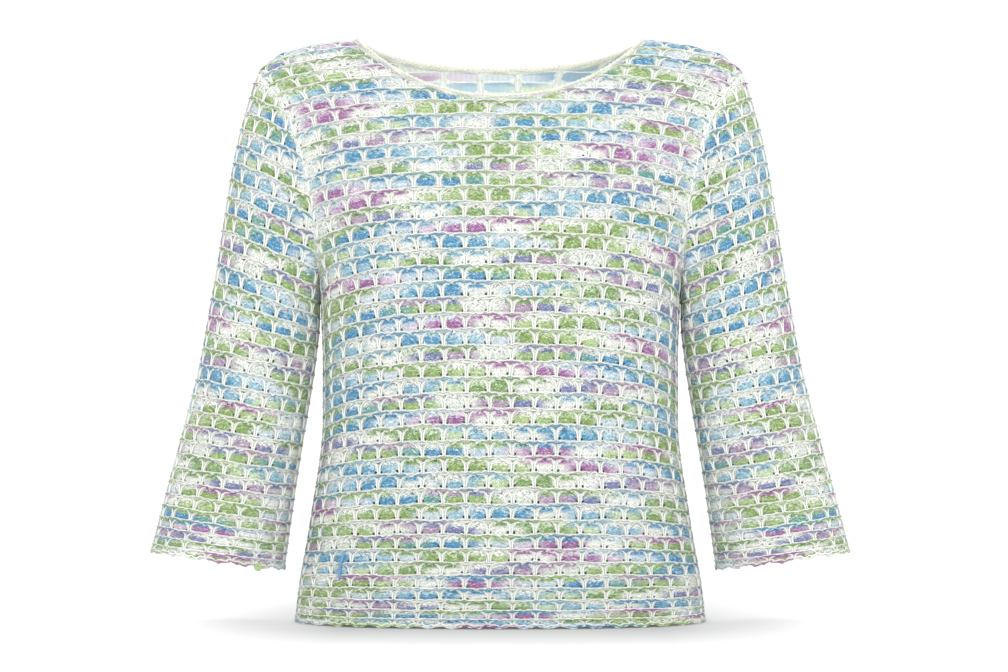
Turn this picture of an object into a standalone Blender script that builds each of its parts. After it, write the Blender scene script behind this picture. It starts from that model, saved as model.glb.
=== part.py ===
"""Open-knit sweater, filled out as if worn: the form of its five sewn pieces.

Lengths below are millimetres and are turned to metres when a mesh is made. +Z is up, the front
faces -Y and +X is the viewer's right. The origin lies midway between the two high shoulder points.
Each piece is one closed wall: an outer surface worked out from a few sections, and the same surface
moved in by the cloth's thickness.
"""

import bpy
import numpy as np

for stale in list(bpy.data.objects):
    bpy.data.objects.remove(stale, do_unlink=True)

# ---- driving sizes, millimetres ----
WALL = 2.6  # thickness of the knitted cloth
SEAM_GAP = 0.3  # space left between two sewn pieces
SQUARENESS = 2.3  # 2 is an ellipse, more is squarer

HEM_HEIGHT = -550.0
UNDERARM_HEIGHT = -236.0
SHOULDER_TOP = -1.0  # shoulder seam beside the neck
SHOULDER_FALL = 32.0  # how far it falls to its outer end
SHOULDER_SLOPE_POWER = 1.7  # its even fall
SHOULDER_END_POWER = 9.0  # the quick fall at its outer end
SHOULDER_END_SHARE = 0.38
NECK_EDGE_X = 139.5  # half width of the neck opening, under the band
SHOULDER_END_X = 230.0
FRONT_NECK_DROP = 61.0
BACK_NECK_DROP = 25.0
FRONT_NECK_FULLNESS = 0.25  # 0 is a plain arc, more is squarer
BACK_NECK_FULLNESS = 0.5
FRONT_SHOULDER_ROUND = 85.0  # height over which the shoulder rounds over
BACK_SHOULDER_ROUND = 62.0

BAND_HEIGHT = 6.5
BAND_LEAN_UP = 0.5
BAND_WALL = 3.2

CELLS_ON_A_PANEL = 21  # knitted cells across the front, and across the back
CELLS_ON_A_SLEEVE = 17
SCALLOP = 2.4  # depth of the scallops along hem and cuffs
EDGE_BAND = 10.0  # height of the scalloped last band

# ---- sections of the body ----
# height, half width, front depth, back depth
BODY = np.array([
    (20.0, 292.0, 58.0, 80.0),
    (0.0, 279.0, 61.0, 84.0),
    (-33.0, 254.0, 65.0, 88.0),
    (-68.0, 224.0, 71.0, 91.0),
    (-103.0, 208.0, 83.0, 95.0),
    (-143.0, 194.5, 94.0, 97.0),
    (-188.0, 182.5, 101.0, 98.0),
    (-210.0, 176.5, 102.5, 97.0),
    (-236.0, 171.0, 103.0, 95.5),
    (-264.0, 169.3, 102.0, 93.0),
    (-304.0, 167.8, 99.5, 89.0),
    (-361.0, 167.8, 96.5, 85.0),
    (-399.0, 171.0, 94.5, 83.5),
    (-437.0, 177.0, 92.5, 82.5),
    (-475.0, 183.0, 90.5, 82.0),
    (-513.0, 190.0, 88.0, 81.0),
    (-560.0, 195.0, 86.0, 80.0),
])

# ---- armhole, seen from the front ----
# height, distance from the middle
ARMHOLE = np.array([
    (20.0, 261.0),
    (-20.0, 240.5),
    (-33.0, 230.0),
    (-50.0, 214.5),
    (-68.0, 202.5),
    (-103.0, 189.3),
    (-143.0, 179.5),
    (-188.0, 173.2),
    (-210.0, 171.6),
    (-225.0, 170.9),
    (-236.0, 171.0),
])

# ---- rings of the sleeve, each standing square to the arm ----
# height of its middle, distance from the body's middle, half width, half depth, slope outwards,
# shift back, slope forwards
SLEEVE = np.array([
    (-47.0, 194.5, 35.5, 36.0, 0.40, 2.0, 0.0),
    (-60.0, 195.2, 38.6, 42.0, 0.46, 2.0, 0.0),
    (-85.0, 198.0, 42.6, 47.0, 0.47, 1.5, 0.0),
    (-125.0, 204.2, 46.3, 49.0, 0.46, 1.0, 0.0),
    (-170.0, 211.5, 47.0, 50.0, 0.44, 0.0, 0.0),
    (-216.0, 218.3, 47.3, 50.5, 0.41, -1.0, 0.0),
    (-266.0, 223.6, 51.0, 51.5, 0.30, -2.0, 0.01),
    (-323.0, 232.5, 53.0, 54.0, 0.21, -4.0, 0.02),
    (-380.0, 244.5, 55.8, 56.5, 0.17, -6.0, 0.03),
    (-437.0, 256.3, 59.4, 59.5, 0.145, -8.0, 0.04),
    (-492.8, 267.3, 62.7, 62.0, 0.134, -10.0, 0.05),
    (-510.0, 270.6, 63.5, 62.6, 0.134, -10.5, 0.05),
])
CUFF_HEIGHT = -492.8
SEAM_REACH = 75.0  # how far below the armhole the sleeve is drawn to the seam

# ---- mesh counts ----
SPREAD_HEIGHT = -80.0  # from here up a panel's columns end evenly along the neck
SIDE_ROWS = 12
ARMHOLE_ROWS = 15
SHOULDER_COLUMNS = 7
NECK_COLUMNS = 18
SLEEVE_ROWS = 14
EDGE_POINTS_PER_CELL = 4


# ---- curves ----
def smooth(table, column, at):
    """A smooth curve through one column of a table that is sorted by height.

    Between two rows it is the cubic that has the rows' values and slopes. A row's slope is the
    mean of the slopes on its two sides, and no steeper than three times the flatter one.
    """
    xs, ys = table[::-1, 0], table[::-1, column]
    if xs[0] > xs[-1]:
        xs, ys = xs[::-1], ys[::-1]
    step = np.diff(ys) / np.diff(xs)
    slope = np.concatenate([step[:1], (step[1:] + step[:-1]) / 2, step[-1:]])
    limit = 3 * np.minimum(np.abs(step[1:]), np.abs(step[:-1])) * (step[1:] * step[:-1] > 0)
    slope[1:-1] = np.sign(slope[1:-1]) * np.minimum(np.abs(slope[1:-1]), limit)
    at = np.clip(np.asarray(at, float), xs[0], xs[-1])
    k = np.clip(np.searchsorted(xs, at) - 1, 0, len(xs) - 2)
    gap = xs[k + 1] - xs[k]
    t = (at - xs[k]) / gap
    return (
        ys[k] * (1 + 2 * t) * (1 - t) ** 2
        + slope[k] * gap * t * (1 - t) ** 2
        + ys[k + 1] * t * t * (3 - 2 * t)
        - slope[k + 1] * gap * t * t * (1 - t)
    )


def shoulder_height(x):
    """Height of the shoulder seam at a distance x from the middle."""
    past = np.clip((np.abs(x) - NECK_EDGE_X) / (SHOULDER_END_X - NECK_EDGE_X), 0, 1.15)
    even = (1 - SHOULDER_END_SHARE) * past**SHOULDER_SLOPE_POWER
    return SHOULDER_TOP - SHOULDER_FALL * (even + SHOULDER_END_SHARE * past**SHOULDER_END_POWER)


def top_height(x, back):
    """Height of a panel's upper edge: the neck curve, then the shoulder seam."""
    drop = BACK_NECK_DROP if back else FRONT_NECK_DROP
    full = BACK_NECK_FULLNESS if back else FRONT_NECK_FULLNESS
    out = (x / NECK_EDGE_X) ** 2
    neck = SHOULDER_TOP - (drop + SHOULDER_TOP) * (1 - out) * (1 + full * out)
    return np.where(np.abs(x) < NECK_EDGE_X, neck, shoulder_height(x))


# ---- the body's surface ----
HEIGHTS = np.linspace(-560.0, 20.0, 291)
FRACTIONS = np.linspace(0.0, 1.0, 161)


def section_tables(back):
    """For each height, x and depth fractions at equal steps of arc from the middle to the side."""
    turn = np.linspace(0, np.pi / 2, 721)
    across = np.sin(turn) ** (2 / SQUARENESS)
    along = np.cos(turn) ** (2 / SQUARENESS)
    x_table, y_table, edge = [], [], []
    for z in HEIGHTS:
        a = smooth(BODY, 1, z)
        b = smooth(BODY, 3 if back else 2, z)
        arc = np.concatenate([[0], np.cumsum(np.hypot(np.diff(a * across), np.diff(b * along)))])
        arc /= arc[-1]
        x_table.append(np.interp(FRACTIONS, arc, across))
        y_table.append(np.interp(FRACTIONS, arc, along))
        reach = min(1.0, float(smooth(ARMHOLE, 1, z) / a)) if z > UNDERARM_HEIGHT else 1.0
        edge.append(np.interp(reach, across, arc))
    return np.array(x_table), np.array(y_table), np.array(edge)


TABLES = {back: section_tables(back) for back in (False, True)}


def look_up(table, fraction, z):
    """Value of a table between its heights and between its arc fractions."""
    i = np.clip((z - HEIGHTS[0]) / (HEIGHTS[1] - HEIGHTS[0]), 0, len(HEIGHTS) - 1.001)
    j = np.clip(fraction * (len(FRACTIONS) - 1), 0, len(FRACTIONS) - 1.001)
    i0, j0 = i.astype(int), j.astype(int)
    p, q = i - i0, j - j0
    low = table[i0, j0] * (1 - q) + table[i0, j0 + 1] * q
    high = table[i0 + 1, j0] * (1 - q) + table[i0 + 1, j0 + 1] * q
    return low * (1 - p) + high * p


def body_point(fraction, z, back):
    """Point of the body at a signed fraction of the arc from the middle to the side."""
    fraction, z = np.broadcast_arrays(np.asarray(fraction, float), np.asarray(z, float))
    x_table, y_table, _ = TABLES[back]
    x = np.sign(fraction) * smooth(BODY, 1, z) * look_up(x_table, np.abs(fraction), z)
    depth = smooth(BODY, 3 if back else 2, z) * look_up(y_table, np.abs(fraction), z)
    rounding = BACK_SHOULDER_ROUND if back else FRONT_SHOULDER_ROUND
    under = np.clip((shoulder_height(x) - z) / rounding, 0, 1)
    y = depth * np.sqrt(1 - (1 - under) ** 2)
    return np.stack([x, y if back else -y, z], axis=-1)


def edge_fraction(z, back):
    """Arc fraction of the armhole at a height, 1 below the underarm."""
    return np.interp(z, HEIGHTS, TABLES[back][2])


def column_share(even, top, z):
    """Share of a panel's width along one column: even below, spaced along the neck above."""
    t = np.clip((z - UNDERARM_HEIGHT) / (SPREAD_HEIGHT - UNDERARM_HEIGHT), 0, 1)
    return even + (top - even) * t * t * (3 - 2 * t)


def column_top(share, back):
    """Height where the column that ends at this share of a panel's width meets its upper edge."""
    if abs(share) > 0.9999:
        return SHOULDER_TOP - SHOULDER_FALL
    z = np.linspace(SPREAD_HEIGHT, 10.0, 4001)
    x = body_point(share * edge_fraction(z, back), z, back)[:, 0]
    return z[np.argmax(z >= top_height(x, back))]


def resample(points, count):
    """The same line at count + 1 points, equally far apart."""
    arc = np.concatenate([[0], np.cumsum(np.linalg.norm(np.diff(points, axis=0), axis=1))])
    wanted = np.linspace(0, arc[-1], count + 1)
    return np.stack([np.interp(wanted, arc, points[:, k]) for k in range(points.shape[1])], axis=1)


def unit(v):
    return v / np.maximum(np.linalg.norm(v, axis=-1, keepdims=True), 1e-12)


def share_at(x, z, back):
    """Share of a panel's width at a distance x from the middle."""
    row = int(round((z - HEIGHTS[0]) / (HEIGHTS[1] - HEIGHTS[0])))
    fraction = np.interp(x / smooth(BODY, 1, z), TABLES[back][0][row], FRACTIONS)
    return float(fraction / edge_fraction(z, back))


def neck_shares(back):
    """Shares at which columns end, equally far apart along half of the neck curve."""
    xs = np.linspace(0, NECK_EDGE_X, 241)
    line = []
    for x in xs:
        z = float(top_height(x, back)) if x < NECK_EDGE_X else SHOULDER_TOP
        share = share_at(x, z, back)
        line.append((*body_point(share * edge_fraction(z, back), z, back), share))
    line = np.array(line)
    arc = np.concatenate([[0], np.cumsum(np.linalg.norm(np.diff(line[:, :3], axis=0), axis=1))])
    return np.interp(np.linspace(0, arc[-1], NECK_COLUMNS // 2 + 1), arc, line[:, 3])


def panel_surface(back):
    """Grid of points [row from hem to top, column from -x to +x] of one panel."""
    neck = neck_shares(back)
    outer = np.linspace(neck[-1], 1, SHOULDER_COLUMNS + 1)[1:]
    half = np.concatenate([neck, outer])
    tops = np.concatenate([-half[:0:-1], half])
    evens = np.linspace(-1, 1, len(tops))
    columns = []
    for even, share in zip(evens, tops):
        low_z = np.linspace(HEM_HEIGHT + EDGE_BAND, UNDERARM_HEIGHT, SIDE_ROWS + 1)
        low = body_point(np.full_like(low_z, even), low_z, back)
        top = column_top(share, back)
        z = top - (top - UNDERARM_HEIGHT) * (1 - np.linspace(0, 1, 1201)) ** 2
        high = body_point(column_share(even, share, z) * edge_fraction(z, back), z, back)
        high[-1, 2] = top
        if abs(high[-1, 0]) >= NECK_EDGE_X - 0.3:
            high[-1, 1] = 0.0
        columns.append(np.concatenate([low, resample(high, ARMHOLE_ROWS)[1:]]))
    return evens, np.stack(columns, axis=1)


def grid_normals(grid, closed):
    """Outward unit normals of a grid whose rows go up and whose columns go to +x on the front."""
    up = np.gradient(grid, axis=0)
    if closed:
        across = np.roll(grid, -1, axis=1) - np.roll(grid, 1, axis=1)
    else:
        across = np.gradient(grid, axis=1)
    return unit(np.cross(across, up))


# ---- the sleeve's surface, for the side at +x ----
def tube_point(turn, ring):
    """Point of the sleeve's plain tube: turn 0 is outermost, a quarter turn is in front."""
    centre, wide, deep, slope, back, lift = (smooth(SLEEVE, k, ring) for k in range(1, 7))
    x = centre + wide * np.cos(turn)
    y = back - deep * np.sin(turn)
    z = ring + slope * wide * np.cos(turn) + lift * deep * np.sin(turn)
    return np.stack([x, y, z], axis=-1)


def seam_on_tube(points):
    """Ring height and turn of the tube nearest each armhole point."""
    ring = points[:, 2].copy()
    for _ in range(60):
        ring = points[:, 2] - smooth(SLEEVE, 4, ring) * (points[:, 0] - smooth(SLEEVE, 1, ring))
    across = (points[:, 0] - smooth(SLEEVE, 1, ring)) / smooth(SLEEVE, 2, ring)
    ahead = -points[:, 1] / smooth(SLEEVE, 3, ring)
    return ring, np.arctan2(ahead, across)


def fade(distance, reach):
    """1 at the seam, falling smoothly to 0 at a distance reach."""
    t = np.clip(1 - distance / reach, 0, 1)
    return t * t * (3 - 2 * t)


def sleeve_surface(seam):
    """Grid [row from cuff to armhole, column round the arm] that ends on the armhole seam."""
    ring_top, turn_top = seam_on_tube(seam)
    turn_top = np.unwrap(turn_top)
    turn_top[0] = 0.0
    even = np.arange(len(seam)) * 2 * np.pi / len(seam)
    pull = seam - tube_point(turn_top, ring_top)
    low = CUFF_HEIGHT + EDGE_BAND
    rows = []
    for t in np.linspace(0, 1, SLEEVE_ROWS + 1):
        down = t**1.25
        ring = ring_top + (low - ring_top) * down
        ease = np.clip(down / 0.6, 0, 1)
        ease = ease * ease * (3 - 2 * ease)
        turn = turn_top + (even - turn_top) * ease
        point = tube_point(turn, ring)
        rows.append(point + pull * fade(ring_top - ring, SEAM_REACH)[:, None])
    return np.stack(rows[::-1])


# ---- meshes ----
def strip(low, high, low_at, high_at):
    """Triangles between two lines of points, going along both in step."""
    faces, i, j = [], 0, 0
    while i < len(low) - 1 or j < len(high) - 1:
        step_low = low_at[i + 1] if i < len(low) - 1 else np.inf
        step_high = high_at[j + 1] if j < len(high) - 1 else np.inf
        if abs(step_low - step_high) < 1e-9 and i < len(low) - 1:
            if low_at[i] + low_at[i + 1] < 0:
                faces += [(low[i], low[i + 1], high[j + 1]), (low[i], high[j + 1], high[j])]
            else:
                faces += [(low[i], low[i + 1], high[j]), (low[i + 1], high[j + 1], high[j])]
            i, j = i + 1, j + 1
        elif step_low < step_high:
            faces.append((low[i], low[i + 1], high[j]))
            i += 1
        else:
            faces.append((low[i], high[j + 1], high[j]))
            j += 1
    return faces


def add_wall(name, colour, outer, inner, places, closed):
    """One closed body from outer and inner rows of points, bottom row first."""
    points, ids = [], []
    for rows in (outer, inner):
        side = []
        for row in rows:
            start = len(points)
            points.extend(np.asarray(row))
            index = list(range(start, len(points)))
            side.append(index + index[:1] if closed else index)
        ids.append(side)
    faces = []
    for k in range(len(outer) - 1):
        faces += strip(ids[0][k], ids[0][k + 1], places[k], places[k + 1])
        faces += [f[::-1] for f in strip(ids[1][k], ids[1][k + 1], places[k], places[k + 1])]
    faces += strip(ids[1][0], ids[0][0], places[0], places[0])
    faces += strip(ids[0][-1], ids[1][-1], places[-1], places[-1])
    if not closed:
        levels = list(range(len(outer)))
        for end, turned in ((0, False), (-1, True)):
            out_line = [side[end] for side in ids[0]]
            in_line = [side[end] for side in ids[1]]
            edge = strip(out_line, in_line, levels, levels)
            faces += [f[::-1] for f in edge] if turned else edge
    xyz = np.array(points) * 0.001
    tri = np.array(faces)
    a, b, c = xyz[tri[:, 0]], xyz[tri[:, 1]], xyz[tri[:, 2]]
    if np.einsum("ij,ij->i", a, np.cross(b, c)).sum() < 0:
        faces = [f[::-1] for f in faces]
    mesh = bpy.data.meshes.new(name)
    mesh.from_pydata([tuple(p) for p in xyz], [], faces)
    mesh.update()
    material = bpy.data.materials.new(name + "_cloth")
    material.use_nodes = True
    shader = material.node_tree.nodes["Principled BSDF"]
    shader.inputs["Base Color"].default_value = (*colour, 1.0)
    shader.inputs["Roughness"].default_value = 0.9
    mesh.materials.append(material)
    item = bpy.data.objects.new(name, mesh)
    bpy.context.scene.collection.objects.link(item)
    return item


def scallop(cells):
    """How far the edge hangs down at a place counted in cells: most at each cell's middle."""
    return SCALLOP * np.sin(np.pi * cells) ** 2


# ---- panels ----
panels, normals, shares = {}, {}, {}
for back in (False, True):
    shares[back], panels[back] = panel_surface(back)
    normal = grid_normals(panels[back], False)
    normals[back] = -normal if back else normal
    neck_ends = (SHOULDER_COLUMNS, SHOULDER_COLUMNS + NECK_COLUMNS)
    for column in (0, -1):
        normals[back][: SIDE_ROWS + 1, column, 1] = 0.0
    normals[back][-1, : neck_ends[0] + 1, 1] = 0.0
    normals[back][-1, neck_ends[1]:, 1] = 0.0
    normals[back] = unit(normals[back])

# ---- armhole seam at +x: from the shoulder's end down the front, then up the back ----
front_edge = panels[False][SIDE_ROWS:, -1][::-1]
back_edge = panels[True][SIDE_ROWS:, -1]
front_edge_normal = normals[False][SIDE_ROWS:, -1][::-1]
back_edge_normal = normals[True][SIDE_ROWS:, -1]
seam = np.concatenate([front_edge, back_edge[1:-1]])
seam_normal = np.concatenate([front_edge_normal, back_edge_normal[1:-1]])
corner = ARMHOLE_ROWS
for k, other in ((0, back_edge_normal[-1]), (corner, back_edge_normal[0])):
    seam_normal[k] = unit(seam_normal[k] + other)
    seam_normal[k, 1] = 0.0
seam_normal = unit(seam_normal)

sleeve = sleeve_surface(seam)
sleeve_normal = -grid_normals(sleeve, True)
if sleeve_normal[2, 0, 0] < 0:
    sleeve_normal = -sleeve_normal

# the mitre shared by panel and sleeve: where the seam's inner edge lies, and the way across it
along = unit(np.roll(seam, -1, axis=0) - np.roll(seam, 1, axis=0))
inward = seam.mean(axis=0) - seam
total = seam_normal + sleeve_normal[-1]
alike = 1 + np.einsum("ij,ij->i", seam_normal, sleeve_normal[-1])
toward = -total + 0.45 * unit(inward - along * np.einsum("ij,ij->i", inward, along)[:, None])
toward -= along * np.einsum("ij,ij->i", toward, along)[:, None]
reach = WALL * np.minimum(np.sqrt(2 / np.maximum(alike, 0.3)), 1.35)
mitre = unit(toward) * reach[:, None]
across = unit(np.cross(along, mitre))
across[0] *= np.sign(across[0, 0])
across[corner] *= np.sign(across[corner, 0])
for k in range(1, len(across)):
    if np.dot(across[k], across[k - 1]) < 0:
        across[k] *= -1

CLOTH = {
    "front": (0.60, 0.70, 0.64),
    "back": (0.56, 0.67, 0.62),
    "sleeve_left": (0.58, 0.68, 0.66),
    "sleeve_right": (0.58, 0.68, 0.66),
    "neckband": (0.86, 0.84, 0.76),
}

# ---- neck edge: a ring shared by the two panels and the band ----
neck = slice(SHOULDER_COLUMNS, SHOULDER_COLUMNS + NECK_COLUMNS + 1)
ring = np.concatenate([panels[False][-1, neck], panels[True][-1, neck][-2:0:-1]])
ring_normal = np.concatenate([normals[False][-1, neck], normals[True][-1, neck][-2:0:-1]])
for k in (0, NECK_COLUMNS):
    ring[k, 1] = 0.0
    ring_normal[k, 1] = 0.0
ring_normal = unit(ring_normal)
ring_along = unit(np.roll(ring, -1, axis=0) - np.roll(ring, 1, axis=0))
beyond = unit(np.cross(ring_normal, ring_along))
middle = np.array([0.0, 0.0, 60.0])
beyond *= np.sign(np.einsum("ij,ij->i", beyond, middle - ring))[:, None]

for back in (False, True):
    grid = panels[back].copy()
    offset = -normals[back] * WALL
    side = 1.0 if back else -1.0
    order = [0] + list(range(len(seam) - 1, corner, -1)) if back else list(range(corner + 1))
    line = [*order, corner] if back else order
    rows = [SIDE_ROWS + ARMHOLE_ROWS - k for k in range(ARMHOLE_ROWS + 1)]
    shift = np.zeros_like(grid)
    for row, k in zip(rows, line):
        offset[row, -1] = mitre[k]
        offset[row, 0] = mitre[k] * (-1, 1, 1)
        shift[row, -1] = -across[k] * SEAM_GAP / 2
        shift[row, 0] = -across[k] * (-1, 1, 1) * SEAM_GAP / 2
    on_ring = np.arange(NECK_COLUMNS + 1)
    if back:
        on_ring = (-on_ring) % len(ring)
    shift[-1, neck] -= beyond[on_ring] * SEAM_GAP / 2
    offset[-1, neck] = -ring_normal[on_ring] * WALL
    outer = grid + shift
    inner = outer + offset
    seam_rows = [(row, column) for row in range(SIDE_ROWS + 1) for column in (0, -1)]
    width = grid.shape[1]
    seam_rows += [(-1, c) for c in range(SHOULDER_COLUMNS + 1)]
    seam_rows += [(-1, c) for c in range(width - SHOULDER_COLUMNS - 1, width)]
    for row, column in seam_rows:
        outer[row, column, 1] = side * SEAM_GAP / 2
        inner[row, column, 1] = side * SEAM_GAP / 2
    points = CELLS_ON_A_PANEL * EDGE_POINTS_PER_CELL
    cells = np.linspace(-CELLS_ON_A_PANEL / 2, CELLS_ON_A_PANEL / 2, points + 1)
    place = cells / (CELLS_ON_A_PANEL / 2)
    edge = body_point(place, np.full_like(place, HEM_HEIGHT), back)
    tangent = np.gradient(edge, axis=0)
    out = unit(np.stack([-side * tangent[:, 1], side * tangent[:, 0], 0 * tangent[:, 0]], axis=1))
    out[0], out[-1] = (-1, 0, 0), (1, 0, 0)
    edge[:, 2] -= scallop(cells + CELLS_ON_A_PANEL / 2) - SCALLOP / 2
    edge[[0, -1], 1] = side * SEAM_GAP / 2
    edge_in = edge - out * WALL
    edge_in[[0, -1], 1] = side * SEAM_GAP / 2
    places = [place] + [shares[back]] * len(outer)
    name = "back" if back else "front"
    add_wall(name, CLOTH[name], [edge, *outer], [edge_in, *inner], places, False)

# ---- sleeves ----
columns = len(seam)
sleeve_out = sleeve.copy()
sleeve_out[-1] += across * SEAM_GAP / 2
sleeve_in = sleeve_out - sleeve_normal * WALL
sleeve_in[-1] = sleeve_out[-1] + mitre
edge_count = CELLS_ON_A_SLEEVE * EDGE_POINTS_PER_CELL
edge_turn = np.arange(edge_count) * 2 * np.pi / edge_count
cuff_cells = edge_turn * CELLS_ON_A_SLEEVE / (2 * np.pi)
cuff = tube_point(edge_turn, np.full(edge_count, CUFF_HEIGHT))
cuff_out = unit(np.stack([np.cos(edge_turn), -np.sin(edge_turn), 0.1 * np.cos(edge_turn)], axis=1))
cuff_in = cuff - cuff_out * WALL
drop = scallop(cuff_cells) - SCALLOP / 2
cuff[:, 2] -= drop
cuff_in[:, 2] -= drop
cuff[:, 0] += 0.2 * drop
cuff_in[:, 0] += 0.2 * drop
edge_place = np.append(edge_turn, 2 * np.pi)
ring_place = np.linspace(0, 2 * np.pi, columns + 1)
places = [edge_place] + [ring_place] * len(sleeve_out)
for name, mirror in (("sleeve_left", 1.0), ("sleeve_right", -1.0)):
    flip = np.array([mirror, 1.0, 1.0])
    outer = [cuff * flip, *(sleeve_out * flip)]
    inner = [cuff_in * flip, *(sleeve_in * flip)]
    add_wall(name, CLOTH[name], outer, inner, places, True)

# ---- neckband: a ring that carries on from the two neck edges ----
rise = unit(beyond + np.array([0.0, 0.0, BAND_LEAN_UP]))
face = unit(ring_normal - rise * np.einsum("ij,ij->i", ring_normal, rise)[:, None])
start = ring + beyond * SEAM_GAP / 2
outer, inner = [start], [start - ring_normal * WALL]
swell = (BAND_WALL - WALL) / 2
for share, thin in ((0.5, 0.0), (1.0, 0.5)):
    base = start + rise * BAND_HEIGHT * share
    outer.append(base + face * (swell - thin / 2))
    inner.append(base - face * (WALL + swell - thin / 2))
turned = np.sin(np.arange(len(ring) + 1) * 2 * np.pi / NECK_COLUMNS)  # splits faces as panels do
places = [turned] * 3
add_wall("neckband", CLOTH["neckband"], outer, inner, places, True)
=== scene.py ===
# %% [markdown]
# # An open-knit sweater, dressed
#
# The CAD model gives the sweater's form as five plain walls: front, back, two sleeves and a neck
# band. This lesson puts the knitting on them. A space-dyed yarn makes small domed cells that look
# like coins, and a white yarn makes the lattice between them: a ridge under each row of coins, and
# pairs of long stitches that stand between two coins and part above like a Y.
#
# Everything is worked out from the same few sections as the CAD model, in the same frame, so the
# knitting lies on the walls without any fitting.

import bpy
import numpy as np
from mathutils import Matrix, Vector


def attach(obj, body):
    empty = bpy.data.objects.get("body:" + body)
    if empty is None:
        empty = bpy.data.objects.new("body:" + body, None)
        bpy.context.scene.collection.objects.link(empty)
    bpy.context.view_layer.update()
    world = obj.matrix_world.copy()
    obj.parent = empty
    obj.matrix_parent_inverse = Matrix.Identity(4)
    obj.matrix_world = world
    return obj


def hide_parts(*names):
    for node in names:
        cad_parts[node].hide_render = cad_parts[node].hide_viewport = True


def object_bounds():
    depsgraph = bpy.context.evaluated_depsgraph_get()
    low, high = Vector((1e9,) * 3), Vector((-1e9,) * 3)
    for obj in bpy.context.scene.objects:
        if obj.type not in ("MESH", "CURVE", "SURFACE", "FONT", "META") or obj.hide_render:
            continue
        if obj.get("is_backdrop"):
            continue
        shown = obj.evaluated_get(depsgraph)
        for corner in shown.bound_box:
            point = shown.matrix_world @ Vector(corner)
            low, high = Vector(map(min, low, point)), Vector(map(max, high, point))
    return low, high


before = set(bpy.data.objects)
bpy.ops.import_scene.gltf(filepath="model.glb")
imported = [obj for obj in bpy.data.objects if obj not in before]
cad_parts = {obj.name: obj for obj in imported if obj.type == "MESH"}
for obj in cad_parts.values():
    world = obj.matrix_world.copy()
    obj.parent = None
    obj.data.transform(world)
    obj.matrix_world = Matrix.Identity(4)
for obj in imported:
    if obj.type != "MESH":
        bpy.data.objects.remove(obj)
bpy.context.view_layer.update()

# %% [markdown]
# ## Camera, floor and light
#
# The sweater is seen straight from the front, from 3 m away, with a long lens, so that near and far
# parts are drawn almost to one scale. It stands filled out on a pale floor that runs up into a pale
# wall, so there is no horizon. Large soft lights from the front and from above leave only a faint
# shadow under the hem.

# %% Camera
camera_data = bpy.data.cameras.new("camera")
camera_data.lens = 112.8
camera_data.clip_end = 50
camera = bpy.data.objects.new("camera", camera_data)
camera.location = (0.0035, -3.0, -0.281)  # level with the sweater's middle
camera.rotation_euler = (np.pi / 2, 0, 0)
bpy.context.scene.collection.objects.link(camera)
bpy.context.scene.camera = camera
print("camera, metres:", tuple(round(x, 4) for x in camera.location))


# %% Mesh from arrays
MM = 0.001  # one millimetre, in metres


def mesh_from(name, points, faces, uv=None, colours=None):
    """A mesh object from arrays: points in metres, and a list of face arrays.

    Each face array has one row per face. uv has one pair, and each of colours one red, green, blue,
    for every corner, in the faces' order. Points that no face uses are left out.
    """
    faces = [f for f in faces if len(f)]
    sizes = np.concatenate([np.full(len(f), f.shape[1]) for f in faces])
    used, corners = np.unique(np.concatenate([f.ravel() for f in faces]), return_inverse=True)
    mesh = bpy.data.meshes.new(name)
    mesh.vertices.add(len(used))
    mesh.vertices.foreach_set("co", np.ascontiguousarray(points[used], np.float32).ravel())
    mesh.loops.add(len(corners))
    mesh.loops.foreach_set("vertex_index", corners.astype(np.int32))
    mesh.polygons.add(len(sizes))
    starts = np.concatenate([[0], np.cumsum(sizes)[:-1]]).astype(np.int32)
    mesh.polygons.foreach_set("loop_start", starts)
    mesh.update(calc_edges=True)
    if uv is not None:
        layer = mesh.uv_layers.new(name="cells")
        layer.data.foreach_set("uv", np.ascontiguousarray(uv, np.float32).ravel())
    for label, colour in (colours or {}).items():
        layer = mesh.attributes.new(label, "FLOAT_COLOR", "CORNER")
        full = np.concatenate([colour, np.ones((len(colour), 1))], axis=1)
        layer.data.foreach_set("color", full.astype(np.float32).ravel())
    mesh.polygons.foreach_set("use_smooth", np.ones(len(sizes), bool))
    item = bpy.data.objects.new(name, mesh)
    bpy.context.scene.collection.objects.link(item)
    return item


# %% Floor that runs up into a wall
FLOOR = -0.5518  # just under the hem's scallops
BEND = 1.5  # radius between floor and wall


def sweep_floor():
    """A floor that turns up into a wall along a quarter circle, wide enough to fill any view."""
    turn = np.linspace(0, np.pi / 2, 13)
    y = np.concatenate([[-9.0], 3.0 + BEND * np.sin(turn), [3.0 + BEND]])
    z = np.concatenate([[FLOOR], FLOOR + BEND * (1 - np.cos(turn)), [8.0]])
    x = np.array([-14.0, 14.0])
    points = np.stack(np.broadcast_arrays(x[None, :], y[:, None], z[:, None]), axis=-1)
    faces = np.arange(len(y) - 1)[:, None] * 2 + np.array([0, 1, 3, 2])
    return mesh_from("floor", points.reshape(-1, 3), [faces])


floor = sweep_floor()
floor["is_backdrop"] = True


# %% [markdown]
# ## A small language for materials
#
# A material is a sum of simple patterns. To write it as plain arithmetic, one small class wraps a
# socket, so that `1 - mask * 0.5` adds the Math nodes itself.


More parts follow.
